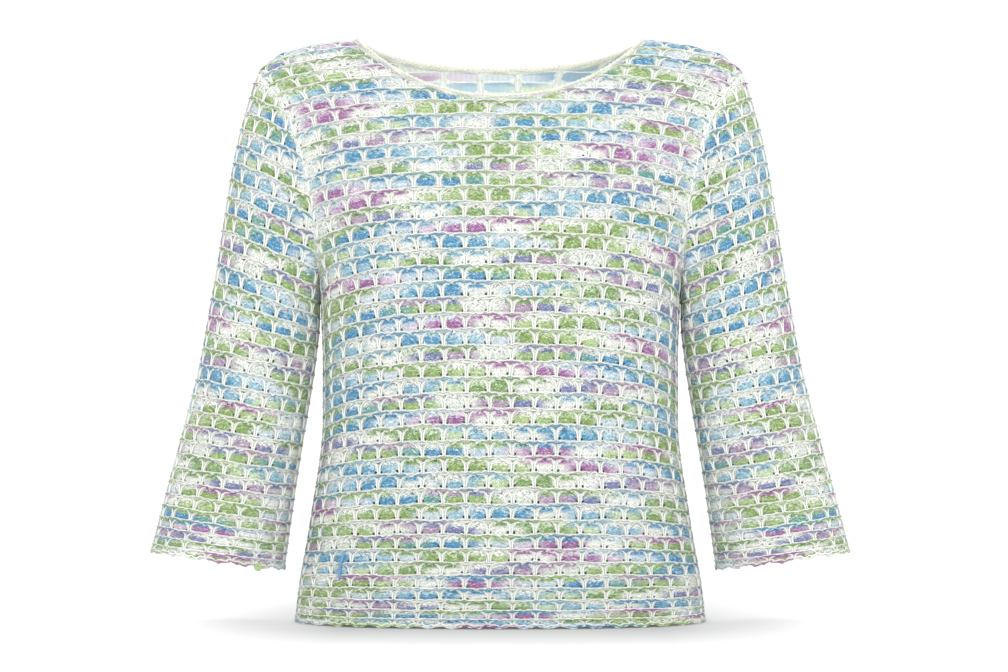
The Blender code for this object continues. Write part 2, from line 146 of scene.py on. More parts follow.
# %% Shader arithmetic
class Wire:
    """One output socket; arithmetic on it adds Math nodes to its material."""

    def __init__(self, socket):
        self.socket = socket
        self.tree = socket.id_data

    def maths(self, operation, *values, clamp=False):
        settings = {"operation": operation, "use_clamp": clamp}
        return add_node(self.tree, "ShaderNodeMath", settings, dict(enumerate(values)))

    def __add__(self, other):
        return self.maths("ADD", self, other)

    def __sub__(self, other):
        return self.maths("SUBTRACT", self, other)

    def __rsub__(self, other):
        return self.maths("SUBTRACT", other, self)

    def __mul__(self, other):
        return self.maths("MULTIPLY", self, other)

    def __pow__(self, other):
        return self.maths("POWER", self, other)

    __radd__ = __add__
    __rmul__ = __mul__

    def clip(self):
        return self.maths("ADD", self, 0.0, clamp=True)

    def size(self):
        return self.maths("ABSOLUTE", self)

    def part(self):
        return self.maths("FRACT", self)

    def wave(self):
        """Up to 1 and down to 0 again, once for every whole number."""
        return self.maths("SINE", self * 6.2832) * 0.5 + 0.5


def add_node(tree, kind, settings, inputs, output=0):
    """Adds a node: its settings first, then the values or links of its sockets."""
    node = tree.nodes.new(kind)
    for name, value in settings.items():
        setattr(node, name, value)
    for name, value in inputs.items():
        if isinstance(value, Wire):
            tree.links.new(value.socket, node.inputs[name])
        else:
            node.inputs[name].default_value = value
    return Wire(node.outputs[output])


def linear(red, green, blue):
    """A colour as a screen shows it, 0 to 255, turned into the light that a shader needs."""
    c = np.array([red, green, blue], float) / 255
    return np.where(c <= 0.04045, c / 12.92, ((c + 0.055) / 1.055) ** 2.4)


def new_material(name, roughness, sheen=0.15, gloss=0.3):
    """A soft, matt material: itself, its tree and its shader."""
    material = bpy.data.materials.new(name)
    material.use_nodes = True
    tree = material.node_tree
    shader = tree.nodes["Principled BSDF"]
    shader.inputs["Roughness"].default_value = roughness
    shader.inputs["Sheen Weight"].default_value = sheen
    shader.inputs["Sheen Roughness"].default_value = 0.5
    shader.inputs["Specular IOR Level"].default_value = gloss
    return material, tree, shader


def mix(tree, share, low, high):
    """Colour between low and high; share says how much of high."""
    low = low if isinstance(low, Wire) else (*low, 1.0)
    high = high if isinstance(high, Wire) else (*high, 1.0)
    settings = {"data_type": "RGBA", "clamp_factor": True}
    return add_node(tree, "ShaderNodeMix", settings, {0: share, 6: low, 7: high}, 2)


def grey(level):
    """A colour without hue."""
    return (level, level, level)


def object_place(tree):
    """A point's place on its object, in metres."""
    return add_node(tree, "ShaderNodeTexCoord", {}, {}, 3)


def two_parts(tree, vector):
    """The first two parts of a vector."""
    split = add_node(tree, "ShaderNodeSeparateXYZ", {}, {0: vector})
    return [Wire(socket) for socket in split.socket.node.outputs[:2]]


def cell_place(tree):
    """Column and row of a cell, or length along a strand and turn round it, from the UV map."""
    return two_parts(tree, add_node(tree, "ShaderNodeUVMap", {"uv_map": "cells"}, {}))


def grain(tree, scale, detail=3.0):
    """Fine unevenness over a piece, about 0.5 on the whole."""
    sockets = {"Vector": object_place(tree), "Scale": scale, "Detail": detail}
    return add_node(tree, "ShaderNodeTexNoise", {}, sockets)


def stored(tree, label):
    """Colour kept in a piece's mesh under a name."""
    return add_node(tree, "ShaderNodeAttribute", {"attribute_name": label}, {})


def give(tree, shader, colour, glow=0.0, height=None, depth=0.0):
    """Hands the shader its colour, how much of it glows, and a relief of a depth in metres."""
    tree.links.new(colour.socket, shader.inputs["Base Color"])
    if glow:
        tree.links.new(colour.socket, shader.inputs["Emission Color"])
        shader.inputs["Emission Strength"].default_value = glow
    if height:
        sockets = {"Height": height, "Distance": depth, "Strength": 0.6}
        bump = add_node(tree, "ShaderNodeBump", {}, sockets)
        tree.links.new(bump.socket, shader.inputs["Normal"])


def dress(item, material):
    """Gives a piece its material and notes its body."""
    item.data.materials.append(material)
    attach(item, "root")
    return item


print("material helpers are ready")

# %% [markdown]
# ## Floor finish and lights
#
# The ground of such a picture is pure white, yet the hem still throws a faint shadow. A plain white
# floor would show every light's edge and a shadow under each sleeve. So the floor is matt and grey
# just round the hem, where it takes the shadow, and further out it reflects less and glows by
# itself instead. Two big lamps in front and one above light the knit evenly. A small one inside,
# behind the front, lights the inside of the back, which is bright where it shows through the neck.

# %% Floor material
floor_cloth, tree, shader = new_material("pale_floor", 0.9, sheen=0.0, gloss=0.0)
aside, depth = two_parts(tree, object_place(tree))
far = (depth * 0.5 - 0.2).clip()
# 0 under the hem, 1 in front of it and behind it
ahead = ((depth + 0.09) * -6.0).clip() + ((depth - 0.08) * 3.0).clip()
# 0 round the hem, 1 to its left and right and far behind it
beside = ((aside.size() - 0.15) * 7.0 + far * 4.0).clip()
lit = mix(tree, beside, mix(tree, ahead, grey(0.05), grey(0.35)), grey(0.84))
give(tree, shader, mix(tree, beside, grey(0.60), grey(0.22)))
tree.links.new(lit.socket, shader.inputs["Emission Color"])
shader.inputs["Emission Strength"].default_value = 1.0
floor.data.materials.append(floor_cloth)


# %% Lights
def soft_light(name, place, aim, size, power):
    """A soft light, size (width, height) in metres, that shines at a point."""
    data = bpy.data.lights.new(name, "AREA")
    data.shape = "RECTANGLE"
    data.size, data.size_y = size
    data.energy = power
    lamp = bpy.data.objects.new(name, data)
    lamp.location = place
    away = np.array(place) - np.array(aim)
    flat = np.hypot(away[0], away[1])
    lamp.rotation_euler = (np.arctan2(flat, away[2]), 0, np.arctan2(away[0], -away[1]))
    bpy.context.scene.collection.objects.link(lamp)


soft_light("key", (-0.9, -3.2, 1.8), (0, 0, -0.3), (2.2, 2.2), 46)
soft_light("fill", (1.0, -3.3, 0.1), (0, 0, -0.45), (2.2, 1.2), 37)
soft_light("above", (0, 1.5, 2.4), (0, 0, -0.3), (2.6, 2.0), 42)
soft_light("inside", (0, 0.01, -0.12), (0, 0.09, -0.035), (0.30, 0.05), 0.15)
world = bpy.data.worlds.new("studio")
world.use_nodes = True
sky = world.node_tree.nodes["Background"]
sky.inputs["Color"].default_value = (1.0, 1.0, 1.0, 1)
sky.inputs["Strength"].default_value = 0.93
bpy.context.scene.world = world
bpy.context.scene.view_settings.view_transform = "Standard"
print("floor, lights and world are ready")

# %% [markdown]
# ## The sweater's form
#
# The real sweater is knitted as flat panels that the wearer rounds out. The CAD model describes
# that worn form with a table of sections for the body, a curve for the armhole and a table of
# rings for the sleeve. The same tables are repeated here, in millimetres.

# %% Sizes, millimetres
COLUMNS = 21  # coins across a panel
ROUND_COLUMNS = 17  # coins round a sleeve
HEM = -550.0
UNDERARM = -236.0
SHOULDER_TOP = -1.0
SHOULDER_FALL = 32.0
NECK_X = 139.5
SHOULDER_X = 230.0
NECK_DROP = {False: 61.0, True: 25.0}  # front, back
NECK_FULLNESS = {False: 0.25, True: 0.5}
SHOULDER_ROUND = {False: 85.0, True: 62.0}
SQUARENESS = 2.3
CUFF = -492.8
SEAM_REACH = 75.0

# height, half width, front depth, back depth
BODY = np.array([
    (20.0, 292.0, 58.0, 80.0), (0.0, 279.0, 61.0, 84.0), (-33.0, 254.0, 65.0, 88.0),
    (-68.0, 224.0, 71.0, 91.0), (-103.0, 208.0, 83.0, 95.0), (-143.0, 194.5, 94.0, 97.0),
    (-188.0, 182.5, 101.0, 98.0), (-210.0, 176.5, 102.5, 97.0), (-236.0, 171.0, 103.0, 95.5),
    (-264.0, 169.3, 102.0, 93.0), (-304.0, 167.8, 99.5, 89.0), (-361.0, 167.8, 96.5, 85.0),
    (-399.0, 171.0, 94.5, 83.5), (-437.0, 177.0, 92.5, 82.5), (-475.0, 183.0, 90.5, 82.0),
    (-513.0, 190.0, 88.0, 81.0), (-560.0, 195.0, 86.0, 80.0),
])
# height, distance from the middle
ARMHOLE = np.array([
    (20.0, 261.0), (-20.0, 240.5), (-33.0, 230.0), (-50.0, 214.5), (-68.0, 202.5),
    (-103.0, 189.3), (-143.0, 179.5), (-188.0, 173.2), (-210.0, 171.6), (-225.0, 170.9),
    (-236.0, 171.0),
])
# ring height, its centre, half width, half depth, slope outwards, shift back, slope forwards
SLEEVE = np.array([
    (-47.0, 194.5, 35.5, 36.0, 0.40, 2.0, 0.0), (-60.0, 195.2, 38.6, 42.0, 0.46, 2.0, 0.0),
    (-85.0, 198.0, 42.6, 47.0, 0.47, 1.5, 0.0), (-125.0, 204.2, 46.3, 49.0, 0.46, 1.0, 0.0),
    (-170.0, 211.5, 47.0, 50.0, 0.44, 0.0, 0.0), (-216.0, 218.3, 47.3, 50.5, 0.41, -1.0, 0.0),
    (-266.0, 223.6, 51.0, 51.5, 0.30, -2.0, 0.01), (-323.0, 232.5, 53.0, 54.0, 0.21, -4.0, 0.02),
    (-380.0, 244.5, 55.8, 56.5, 0.17, -6.0, 0.03), (-437.0, 256.3, 59.4, 59.5, 0.145, -8.0, 0.04),
    (-492.8, 267.3, 62.7, 62.0, 0.134, -10.0, 0.05),
    (-510.0, 270.6, 63.5, 62.6, 0.134, -10.5, 0.05),
])
print(len(BODY), "body sections,", len(SLEEVE), "sleeve rings")


# %% Curves through the tables
def smooth(table, column, at):
    """A smooth curve through one column of a table sorted by height.

    Between two rows it is the cubic that has the rows' values and slopes; a row's slope is the mean
    of the slopes on its two sides, and no steeper than three times the flatter one.
    """
    xs, ys = table[::-1, 0], table[::-1, column]
    step = np.diff(ys) / np.diff(xs)
    slope = np.concatenate([step[:1], (step[1:] + step[:-1]) / 2, step[-1:]])
    limit = 3 * np.minimum(np.abs(step[1:]), np.abs(step[:-1])) * (step[1:] * step[:-1] > 0)
    slope[1:-1] = np.sign(slope[1:-1]) * np.minimum(np.abs(slope[1:-1]), limit)
    at = np.clip(np.asarray(at, float), xs[0], xs[-1])
    k = np.clip(np.searchsorted(xs, at) - 1, 0, len(xs) - 2)
    gap = xs[k + 1] - xs[k]
    t = (at - xs[k]) / gap
    return (
        ys[k] * (1 + 2 * t) * (1 - t) ** 2
        + slope[k] * gap * t * (1 - t) ** 2
        + ys[k + 1] * t * t * (3 - 2 * t)
        - slope[k + 1] * gap * t * t * (1 - t)
    )


def shoulder_height(x):
    """Height of the shoulder seam at a distance x from the middle: even, then a quick fall."""
    past = np.clip((np.abs(x) - NECK_X) / (SHOULDER_X - NECK_X), 0, 1.15)
    return SHOULDER_TOP - SHOULDER_FALL * (0.62 * past**1.7 + 0.38 * past**9)


def top_height(x, back):
    """Height of a panel's upper edge: the neck curve, then the shoulder seam."""
    out = np.minimum((x / NECK_X) ** 2, 1)
    deep = (NECK_DROP[back] + SHOULDER_TOP) * (1 - out) * (1 + NECK_FULLNESS[back] * out)
    return np.where(np.abs(x) < NECK_X, SHOULDER_TOP - deep, shoulder_height(x))


def unit(v):
    """The same directions with length 1."""
    return v / np.maximum(np.linalg.norm(v, axis=-1, keepdims=True), 1e-12)


# %% The body's surface
HEIGHTS = np.linspace(-560.0, 20.0, 291)
HEIGHT_STEP = 2.0
FRACTIONS = np.linspace(0.0, 1.0, 161)


def section_tables(back):
    """For each height, x and depth at equal steps of arc from the middle to the side, as shares."""
    turn = np.linspace(0, np.pi / 2, 721)
    across = np.sin(turn) ** (2 / SQUARENESS)
    along = np.cos(turn) ** (2 / SQUARENESS)
    wide = smooth(BODY, 1, HEIGHTS)
    deep = smooth(BODY, 3 if back else 2, HEIGHTS)
    reach = np.where(HEIGHTS > UNDERARM, np.minimum(smooth(ARMHOLE, 1, HEIGHTS) / wide, 1), 1)
    xs, ys, edge = [], [], []
    for a, b, r in zip(wide, deep, reach):
        arc = np.concatenate([[0], np.cumsum(np.hypot(np.diff(a * across), np.diff(b * along)))])
        arc /= arc[-1]
        xs.append(np.interp(FRACTIONS, arc, across))
        ys.append(np.interp(FRACTIONS, arc, along))
        edge.append(np.interp(r, across, arc))
    return np.array(xs), np.array(ys), np.array(edge)


TABLES = {back: section_tables(back) for back in (False, True)}


def between(table, row, column):
    """Value of a table at a place between its rows and columns, which are counted from 0."""
    i = np.clip(row, 0, table.shape[0] - 1.001)
    j = np.clip(column, 0, table.shape[1] - 1.001)
    i0, j0 = i.astype(int), j.astype(int)
    p, q = i - i0, j - j0
    low = table[i0, j0] * (1 - q) + table[i0, j0 + 1] * q
    high = table[i0 + 1, j0] * (1 - q) + table[i0 + 1, j0 + 1] * q
    return low * (1 - p) + high * p


def body_point(fraction, z, back):
    """Point of the body at a signed fraction of the arc from the middle to the side."""
    fraction, z = np.broadcast_arrays(np.asarray(fraction, float), np.asarray(z, float))
    row, column = (z - HEIGHTS[0]) / HEIGHT_STEP, np.abs(fraction) * (len(FRACTIONS) - 1)
    x = np.sign(fraction) * smooth(BODY, 1, z) * between(TABLES[back][0], row, column)
    deep = smooth(BODY, 3 if back else 2, z) * between(TABLES[back][1], row, column)
    under = np.clip((shoulder_height(x) - z) / SHOULDER_ROUND[back], 0, 1)
    y = deep * np.sqrt(1 - (1 - under) ** 2)
    return np.stack([x, y if back else -y, z], axis=-1)


def body_normal(fraction, z, back):
    """Outward direction at the same place: square to a short step across and a short step down."""
    across = body_point(fraction + 0.004, z, back) - body_point(fraction - 0.004, z, back)
    down = body_point(fraction, z + 0.4, back) - body_point(fraction, z - 1.2, back)
    normal = unit(np.cross(across, down))
    return -normal if back else normal


def edge_fraction(z, back):
    """Arc fraction of the armhole at a height, 1 below the underarm."""
    return np.interp(z, HEIGHTS, TABLES[back][2])


middle = body_point(0.0, -300.0, False)
print("middle of the front at the waist, mm:", middle.round(1))

# %% [markdown]
# ## Rows and columns
#
# A knitter counts columns across and rows up. On the body, 21 columns run from side to side at
# every height, so they narrow at the waist. Rows are about 14 mm apart, closer at the hem, and
# they droop towards the sides, where the cloth hangs from the bust and the shoulders. Over the
# shoulders the rows are counted along the cloth and not by height.

# %% Row spacing
# height, millimetres from one ridge to the next
ROW_STEP = np.array([
    (120.0, 14.0), (-80.0, 14.0), (-200.0, 14.5), (-430.0, 14.4), (-485.0, 12.2),
    (-520.0, 11.0), (-535.0, 8.3), (-550.0, 7.2), (-560.0, 7.0),
])
# height, how far rows droop at the side
DROOP = np.array([
    (120.0, 34.0), (-57.0, 36.0), (-285.0, 36.0), (-389.5, 21.0), (-480.0, 9.5), (-550.0, 0.0),
    (-560.0, 0.0),
])
level = np.linspace(HEM, 120.0, 3000)
row_at = np.concatenate([[0], np.cumsum(np.diff(level) / smooth(ROW_STEP, 1, level[1:]))])
WAIST_RIDGE = -304.0  # a ridge shows at this height in the photograph
known = np.interp(WAIST_RIDGE, level, row_at)
row_at *= round(known) / known
ROWS = 46
print("rows to the front neck:", np.interp(-61.0, level, row_at).round(1))


# %% Height of each row on each column
FINE = 8


def row_heights(back):
    """Table of heights, [row, column], for a panel, and the top height of each column.

    Along a column the cloth's length is summed from below; a row lies where that length is the
    row's own level, less the droop, which grows as the cube of the distance from the middle.
    """
    counts = np.arange(ROWS * FINE + 1) / FINE
    levels = np.interp(counts, row_at, level)
    table, tops = [], []
    z = np.concatenate([np.linspace(-556.0, -150.0, 160)[:-1], np.linspace(-150.0, 8.0, 500)])
    for u in np.linspace(-1, 1, COLUMNS * FINE + 1):
        p = body_point(np.full_like(z, u), z, back)
        over = np.nonzero(z >= top_height(p[:, 0], back))[0]
        top = z[over[0]] if len(over) else z[-1]
        if abs(p[np.argmin(abs(z + 40)), 0]) > SHOULDER_X:
            top = shoulder_height(SHOULDER_X)
        step = np.linalg.norm(np.diff(p, axis=0), axis=1)
        plain = np.where(z[1:] < -200, np.diff(z), step)
        length = z[0] + np.concatenate([[0], np.cumsum(plain)])
        wanted = levels - smooth(DROOP, 1, levels) * abs(u) ** 3
        table.append(np.interp(wanted, length, z, right=40.0))
        tops.append(top)
    return np.array(table).T, np.array(tops)


ROW_TABLES = {back: row_heights(back) for back in (False, True)}


def wander(u, v):
    """Small unevenness of hand-guided rows and columns, in cells."""
    sway = 0.03 * np.sin(1.7 * u + 0.6 * v) + 0.025 * np.sin(0.53 * u - 1.9 * v + 1.0)
    rise = 0.03 * np.sin(1.1 * u + 2.7 * v + 2.0) + 0.03 * np.sin(2.9 * u - 1.3 * v)
    return sway, rise


def scallop(cells, v):
    """How far the last row hangs down, in mm: most at each coin's middle, none from row 1 up."""
    return (2.4 * np.sin(np.pi * cells) ** 2 - 1.2) * np.clip(1 - v, 0, 1)


def back_spread(v):
    """The back is stretched over the shoulder blades, so its columns stand wider apart there."""
    t = np.clip((np.interp(v, row_at, level) + 150) / 110, 0, 1)
    return 1 + 0.36 * t * t * (3 - 2 * t)


PANEL_PULL = 0.8  # how far from the armhole seam its pull reaches on a panel, in cells


def on_panel(u, v, back):
    """Points, outward directions, whether inside, and how plain, at column u and row v of a panel.

    u runs from -10.5 to 10.5. A place beyond the armhole moves sideways on to it, and a place
    above the upper edge moves down on to that. Within a cell of the armhole the seam draws the
    knit together and its colours pale: plain is 1 at the seam and 0 a cell from it.
    """
    u, v = np.broadcast_arrays(np.asarray(u, float), np.asarray(v, float))
    half = COLUMNS / 2
    cells = u + half
    sway, rise = wander(u, v)
    calm = np.clip(v * 0.5, 0, 1) * np.clip((half - np.abs(u)) * 0.7, 0, 1)
    u, v = u + sway * calm, v + rise * calm
    u = np.clip(u * back_spread(v), -half, half) if back else u
    table, tops = ROW_TABLES[back]
    place = (u + half) * FINE
    z = between(table, v * FINE, place)
    top = np.interp(place, np.arange(len(tops)), tops)
    inside = z < top
    z = np.minimum(z, top)
    fraction = u / half
    edge = edge_fraction(z, back)
    inside &= (np.abs(fraction) < edge) | (edge > 0.9999)
    from_seam = (edge - np.abs(fraction)) * half / PANEL_PULL
    beside = np.where(z > UNDERARM - 6, np.clip(1 - from_seam, 0, 1), 0)
    fraction = np.clip(fraction, -edge, edge)
    point = body_point(fraction, z, back)
    normal = body_normal(fraction, z, back)
    point[..., 2] -= scallop(cells, v)
    return point, normal, inside, beside


p, n, inside, plain = on_panel(0.0, np.arange(0, 40), False)
print("front ridges, mm:", p[:, 2].round(0)[::6], "inside:", int(inside.sum()))


# %% [markdown]
# ## The sleeve's surface
#
# Each sleeve is a tube of tilted rings whose upper end is drawn to the armhole seam. Seventeen
# columns run down it, and its rows follow the rings.


# %% Sleeve
def tube_point(turn, ring):
    """Point of the plain tube: turn 0 is outermost, a quarter turn is in front."""
    centre, wide, deep, slope, back, lift = (smooth(SLEEVE, k, ring) for k in range(1, 7))
    x = centre + wide * np.cos(turn)
    y = back - deep * np.sin(turn)
    z = ring + slope * wide * np.cos(turn) + lift * deep * np.sin(turn)
    return np.stack([x, y, z], axis=-1)


def armhole_seam():
    """The seam from the shoulder's end down the front and up the back, as points."""
    down = np.linspace(shoulder_height(SHOULDER_X), UNDERARM, 160)
    front = body_point(edge_fraction(down, False), down, False)
    back = body_point(edge_fraction(down, True), down, True)[::-1]
    front[0, 1] = front[-1, 1] = 0.0
    return np.concatenate([front, back[1:-1]])


seam = armhole_seam()
ring_top = seam[:, 2].copy()
for _ in range(60):
    ring_top = seam[:, 2] - smooth(SLEEVE, 4, ring_top) * (seam[:, 0] - smooth(SLEEVE, 1, ring_top))
turn_top = np.unwrap(np.arctan2(
    -seam[:, 1] / smooth(SLEEVE, 3, ring_top),
    (seam[:, 0] - smooth(SLEEVE, 1, ring_top)) / smooth(SLEEVE, 2, ring_top),
))
turn_top[0] = 0.0
pull = seam - tube_point(turn_top, ring_top)
print("armhole seam, mm:", np.linalg.norm(np.diff(seam, axis=0), axis=1).sum().round())


def round_trip(values, turn):
    """A value known at the seam's turns, at any turn."""
    full = 2 * np.pi
    known_turn = np.append(turn_top, full)
    return np.interp(np.mod(turn, full), known_turn, np.append(values, values[0]))


def sleeve_point(turn, ring):
    """The tube's point, drawn to the seam by an amount that fades over SEAM_REACH below it."""
    t = np.clip(1 - (round_trip(ring_top, turn) - ring) / SEAM_REACH, 0, 1)
    drawn = np.stack([round_trip(pull[:, k], turn) for k in range(3)], axis=-1)
    return tube_point(turn, ring) + drawn * (t * t * (3 - 2 * t))[..., None]


# ring height, millimetres from one ridge to the next
SLEEVE_STEP = np.array([
    (20.0, 15.5), (-100.0, 16.0), (-200.0, 15.5), (-300.0, 14.3), (-400.0, 13.0),
    (-450.0, 10.8), (-480.0, 8.0), (-500.0, 7.2),
])
sleeve_level = np.linspace(CUFF, 20.0, 2500)
gaps = np.diff(sleeve_level) / smooth(SLEEVE_STEP, 1, sleeve_level[1:])
sleeve_row = np.concatenate([[0], np.cumsum(gaps)])
SLEEVE_ROWS = int(sleeve_row[-1])
UNDERARM_COLUMN = 8.5  # the column that runs down under the arm, where the sleeve is sewn up
SLEEVE_PULL = 11.0  # how far from the armhole seam its pull reaches on the sleeve, mm


def on_sleeve(u, v, mirror):
    """Points, outward directions, whether inside, and how plain, at column u and row v of a sleeve.

    The cloth is plain white next to the armhole, and in a narrow strip under the arm where the
    sleeve's own seam runs.
    """
    u, v = np.broadcast_arrays(np.asarray(u, float), np.asarray(v, float))
    full = 2 * np.pi
    turned = full * u / ROUND_COLUMNS
    calm = np.clip(v * 0.5, 0, 1)
    sway = 0.035 * np.sin(3 * turned + 0.6 * v) + 0.03 * np.sin(turned - 1.9 * v)
    rise = 0.03 * np.sin(4 * turned + 2.7 * v + mirror) + 0.03 * np.sin(9 * turned - 1.3 * v)
    turn = turned + sway * calm * full / ROUND_COLUMNS
    ring = np.interp(v + rise * calm, sleeve_row, sleeve_level)
    top = round_trip(ring_top, turn)
    inside = ring < top
    beside = np.clip(1 - (top - ring) / SLEEVE_PULL, 0, 1)
    strip = np.clip(2.2 - np.abs(np.mod(u, ROUND_COLUMNS) - UNDERARM_COLUMN) / 0.22, 0, 1)
    ring = np.minimum(ring, top)
    point = sleeve_point(turn, ring)
    across = sleeve_point(turn + 0.02, ring) - sleeve_point(turn - 0.02, ring)
    up = sleeve_point(turn, ring) - sleeve_point(turn, ring - 1.5)
    normal = unit(np.cross(up, across))
    point[..., 2] -= scallop(u, v)
    flip = np.array([mirror, 1.0, 1.0])
    return point * flip, normal * flip, inside, np.maximum(beside, strip)


p, n, inside, plain = on_sleeve(4.25, np.arange(0, SLEEVE_ROWS), 1.0)
print("sleeve rows:", SLEEVE_ROWS, "inside in front:", int(inside.sum()), "facing:", n[3].round(2))

# %% [markdown]
# ## The space-dyed yarn
#
# The coloured yarn is dyed in lengths: blue, pale blue, lilac, green, cream and so on. Knitted
# back and forth it lands in short runs along each row. Each row of coins takes two passes of yarn:
# one makes the lower half of the coins, the next their upper half and the strands between them.

# %% Dye lengths
# cells of yarn, colour as seen on a screen
DYES = [
    (2.4, (76, 145, 182)), (1.4, (152, 188, 202)), (1.3, (200, 211, 220)), (2.3, (132, 160, 82)),
    (1.7, (170, 192, 133)), (1.6, (232, 233, 225)), (2.0, (157, 96, 152)), (1.0, (206, 186, 206)),
    (1.7, (190, 206, 216)), (2.0, (68, 137, 180)), (1.2, (104, 158, 148)), (2.4, (147, 175, 104)),
    (1.7, (214, 220, 210)), (1.5, (170, 143, 170)), (1.5, (120, 124, 168)), (1.9, (228, 229, 222)),
    (2.1, (123, 156, 86)), (1.3, (190, 206, 166)), (1.8, (130, 174, 194)), (1.7, (220, 221, 214)),
]
BLEND = 0.55  # cells over which one dye runs into the next
DYE_ENDS = np.concatenate([[0], np.cumsum([length for length, _ in DYES])])
DYE_COLOURS = np.array([linear(*colour) for _, colour in DYES])
WHITE = linear(239, 242, 235)


def dye(place):
    """Colour of the yarn at a place along it, in cells: one dye, which blends from the last."""
    place = np.mod(place, DYE_ENDS[-1])
    k = np.clip(np.searchsorted(DYE_ENDS, place, side="right") - 1, 0, len(DYES) - 1)
    last = (k - 1) % len(DYES)
    share = np.clip((place - DYE_ENDS[k]) / BLEND, 0, 1)[..., None]
    return DYE_COLOURS[last] * (1 - share) + DYE_COLOURS[k] * share


def course_start(course, seed):
    """Place along the yarn where a pass begins; each pass takes a little more than the last."""
    return course * 29.3 + 3.1 * np.sin(course * 1.37 + seed) + 5.3 * seed


def yarn_colour(u, row, course, seed):
    """Colour of a pass of yarn at column u of a row of coins."""
    forward = np.where(np.mod(row, 2) < 0.5, 1.0, -1.0)
    start = course_start(row * 1.0, seed) + course * (2.7 + 2.2 * np.sin(row * 2.1 + seed))
    return dye(start + forward * u)


print("the dyes repeat after", DYE_ENDS[-1], "cells of yarn")

# %% [markdown]
# ## The coins
#
# A coin is the swelling of three or four slack courses held in at the sides by the white stitches.
# It could be a bump painted on, but its dome catches the light, so it is a relief: each cell is a
# patch of 8 by 7 faces, and a few of them, beside the foot of the white stitches and in their
# forks, are left out. They are the eyelets through which one sees into the sweater.

# %% Relief of one cell
ACROSS = np.array([0, 0.095, 0.18, 0.33, 0.50, 0.67, 0.82, 0.905, 1.0])
UP = np.array([0, 0.10, 0.26, 0.44, 0.62, 0.78, 0.88, 1.0])
CLOTH_DEPTH = -1.2  # height of the plain knit over the CAD wall's face, mm: a little inside it
COIN_HALF = 0.405  # half a coin's width, as a share of its column
COIN_FOOT = 0.30  # where it is widest, as a share of its row
COIN_RISE = 0.58  # from there to its arched top
COIN_FALL = 0.22  # and down to its nearly flat foot
FOOT_EYELETS = 0.85  # share of the coins' lower corners that are open
FORK_EYELETS = 0.3  # share of the forks of the white stitches that are open


def coin_share(s, t):
    """1 at a coin's middle and 0 at its rim: flat below and an arch above."""
    side = np.abs(s - 0.5) / COIN_HALF
    above = np.clip(t - COIN_FOOT, 0, 1) / COIN_RISE
    below = np.clip(COIN_FOOT - t, 0, 1) / COIN_FALL
    return np.clip(1 - side**2.8 - above**2.2 - below**4, 0, 1)


def coin_relief(s, t):
    """Height of the knit, mm: a dome, highest in its lower half, with the folds of its courses."""
    fold = 0.16 * np.cos(2 * np.pi * 3.4 * t)
    return CLOTH_DEPTH + coin_share(s, t) ** 0.5 * (2.2 - 0.8 * t + fold)


def grid_faces(inside, turned=False):
    """Corners of every face of a grid, and whether any, and whether all, of them are inside.

    The corners are index pairs into the grid, anticlockwise as seen from the outward side, or, for
    a turned sheet, from the other.
    """
    i, j = np.meshgrid(*(np.arange(n - 1) for n in inside.shape), indexing="ij")
    corners = [(i, j), (i, j + 1), (i + 1, j + 1), (i + 1, j)]
    if turned:
        corners = [corners[k] for k in (0, 3, 2, 1)]
    flags = np.stack([inside[c] for c in corners])
    return corners, flags.any(axis=0), flags.all(axis=0)


def dyed_sheet(name, point, place, corners, keep, row, white, seed):
    """The kept faces of a grid as a mesh that stores the colours of both passes of yarn.

    place is the grid's index, column and row, and white says how much white covers the dyes.
    """
    index, u, v, white = (np.stack([x[c][keep] for c in corners], axis=-1) for x in (*place, white))
    row = row[keep][:, None] + 0.0 * u
    white = white[..., None]
    colours = {
        label: (yarn_colour(u, row, course, seed) * (1 - white) + WHITE * white).reshape(-1, 3)
        for course, label in enumerate(("low", "high"))
    }
    uv = np.stack([u, v], axis=-1).reshape(-1, 2)
    return mesh_from(name, point.reshape(-1, 3) * MM, [index], uv, colours)


def cell_sheet(name, mapping, columns, rows, seed, closed):
    """The plain knit and its coins over a whole piece, as one sheet with eyelets."""
    u = (np.arange(columns)[:, None] + ACROSS[:-1]).ravel()
    u = np.append(u, columns)
    v = np.append((np.arange(rows)[:, None] + UP[:-1]).ravel(), rows)
    grid_u, grid_v = np.meshgrid(u, v)
    point, normal, inside, plain = mapping(grid_u, grid_v)
    relief = coin_relief(np.mod(grid_u, 1), np.mod(grid_v, 1))
    relief = relief * (1 - plain) + (-0.2 + 0.4 * np.cos(2 * np.pi * grid_v)) * plain
    lift = np.where(inside, relief, -0.2)
    index = np.arange(inside.size).reshape(inside.shape)
    if closed:
        index[:, -1] = index[:, 0]
    corners, some, whole = grid_faces(inside)
    i, j = corners[0]
    across, up = len(ACROSS) - 1, len(UP) - 1
    in_s, in_t = np.mod(j, across), np.mod(i, up)
    chance = np.mod(np.sin(12.9 * j + 78.2 * i + seed) * 43758.5, 1)  # uneven, yet always the same
    foot = ((in_s == 1) | (in_s == across - 2)) & (in_t == 1) & (chance < FOOT_EYELETS)
    fork = ((in_s == 0) | (in_s == across - 1)) & (in_t == 5) & (chance < FORK_EYELETS)
    keep = some & ~((foot | fork) & whole)
    base = (point + normal * CLOTH_DEPTH) * MM
    a, b, c, d = (base[corner] for corner in corners)
    flat_area = float((np.linalg.norm(np.cross(c - a, d - b), axis=-1) / 2)[some].sum())
    place = (index, grid_u, grid_v)
    relieved = point + normal * lift[..., None]
    item = dyed_sheet(name, relieved, place, corners, keep, i // up, plain * 0.8, seed)
    print(name, int(keep.sum()) * 2, "triangles,", round(flat_area, 4), "square metres flat")
    return item, flat_area


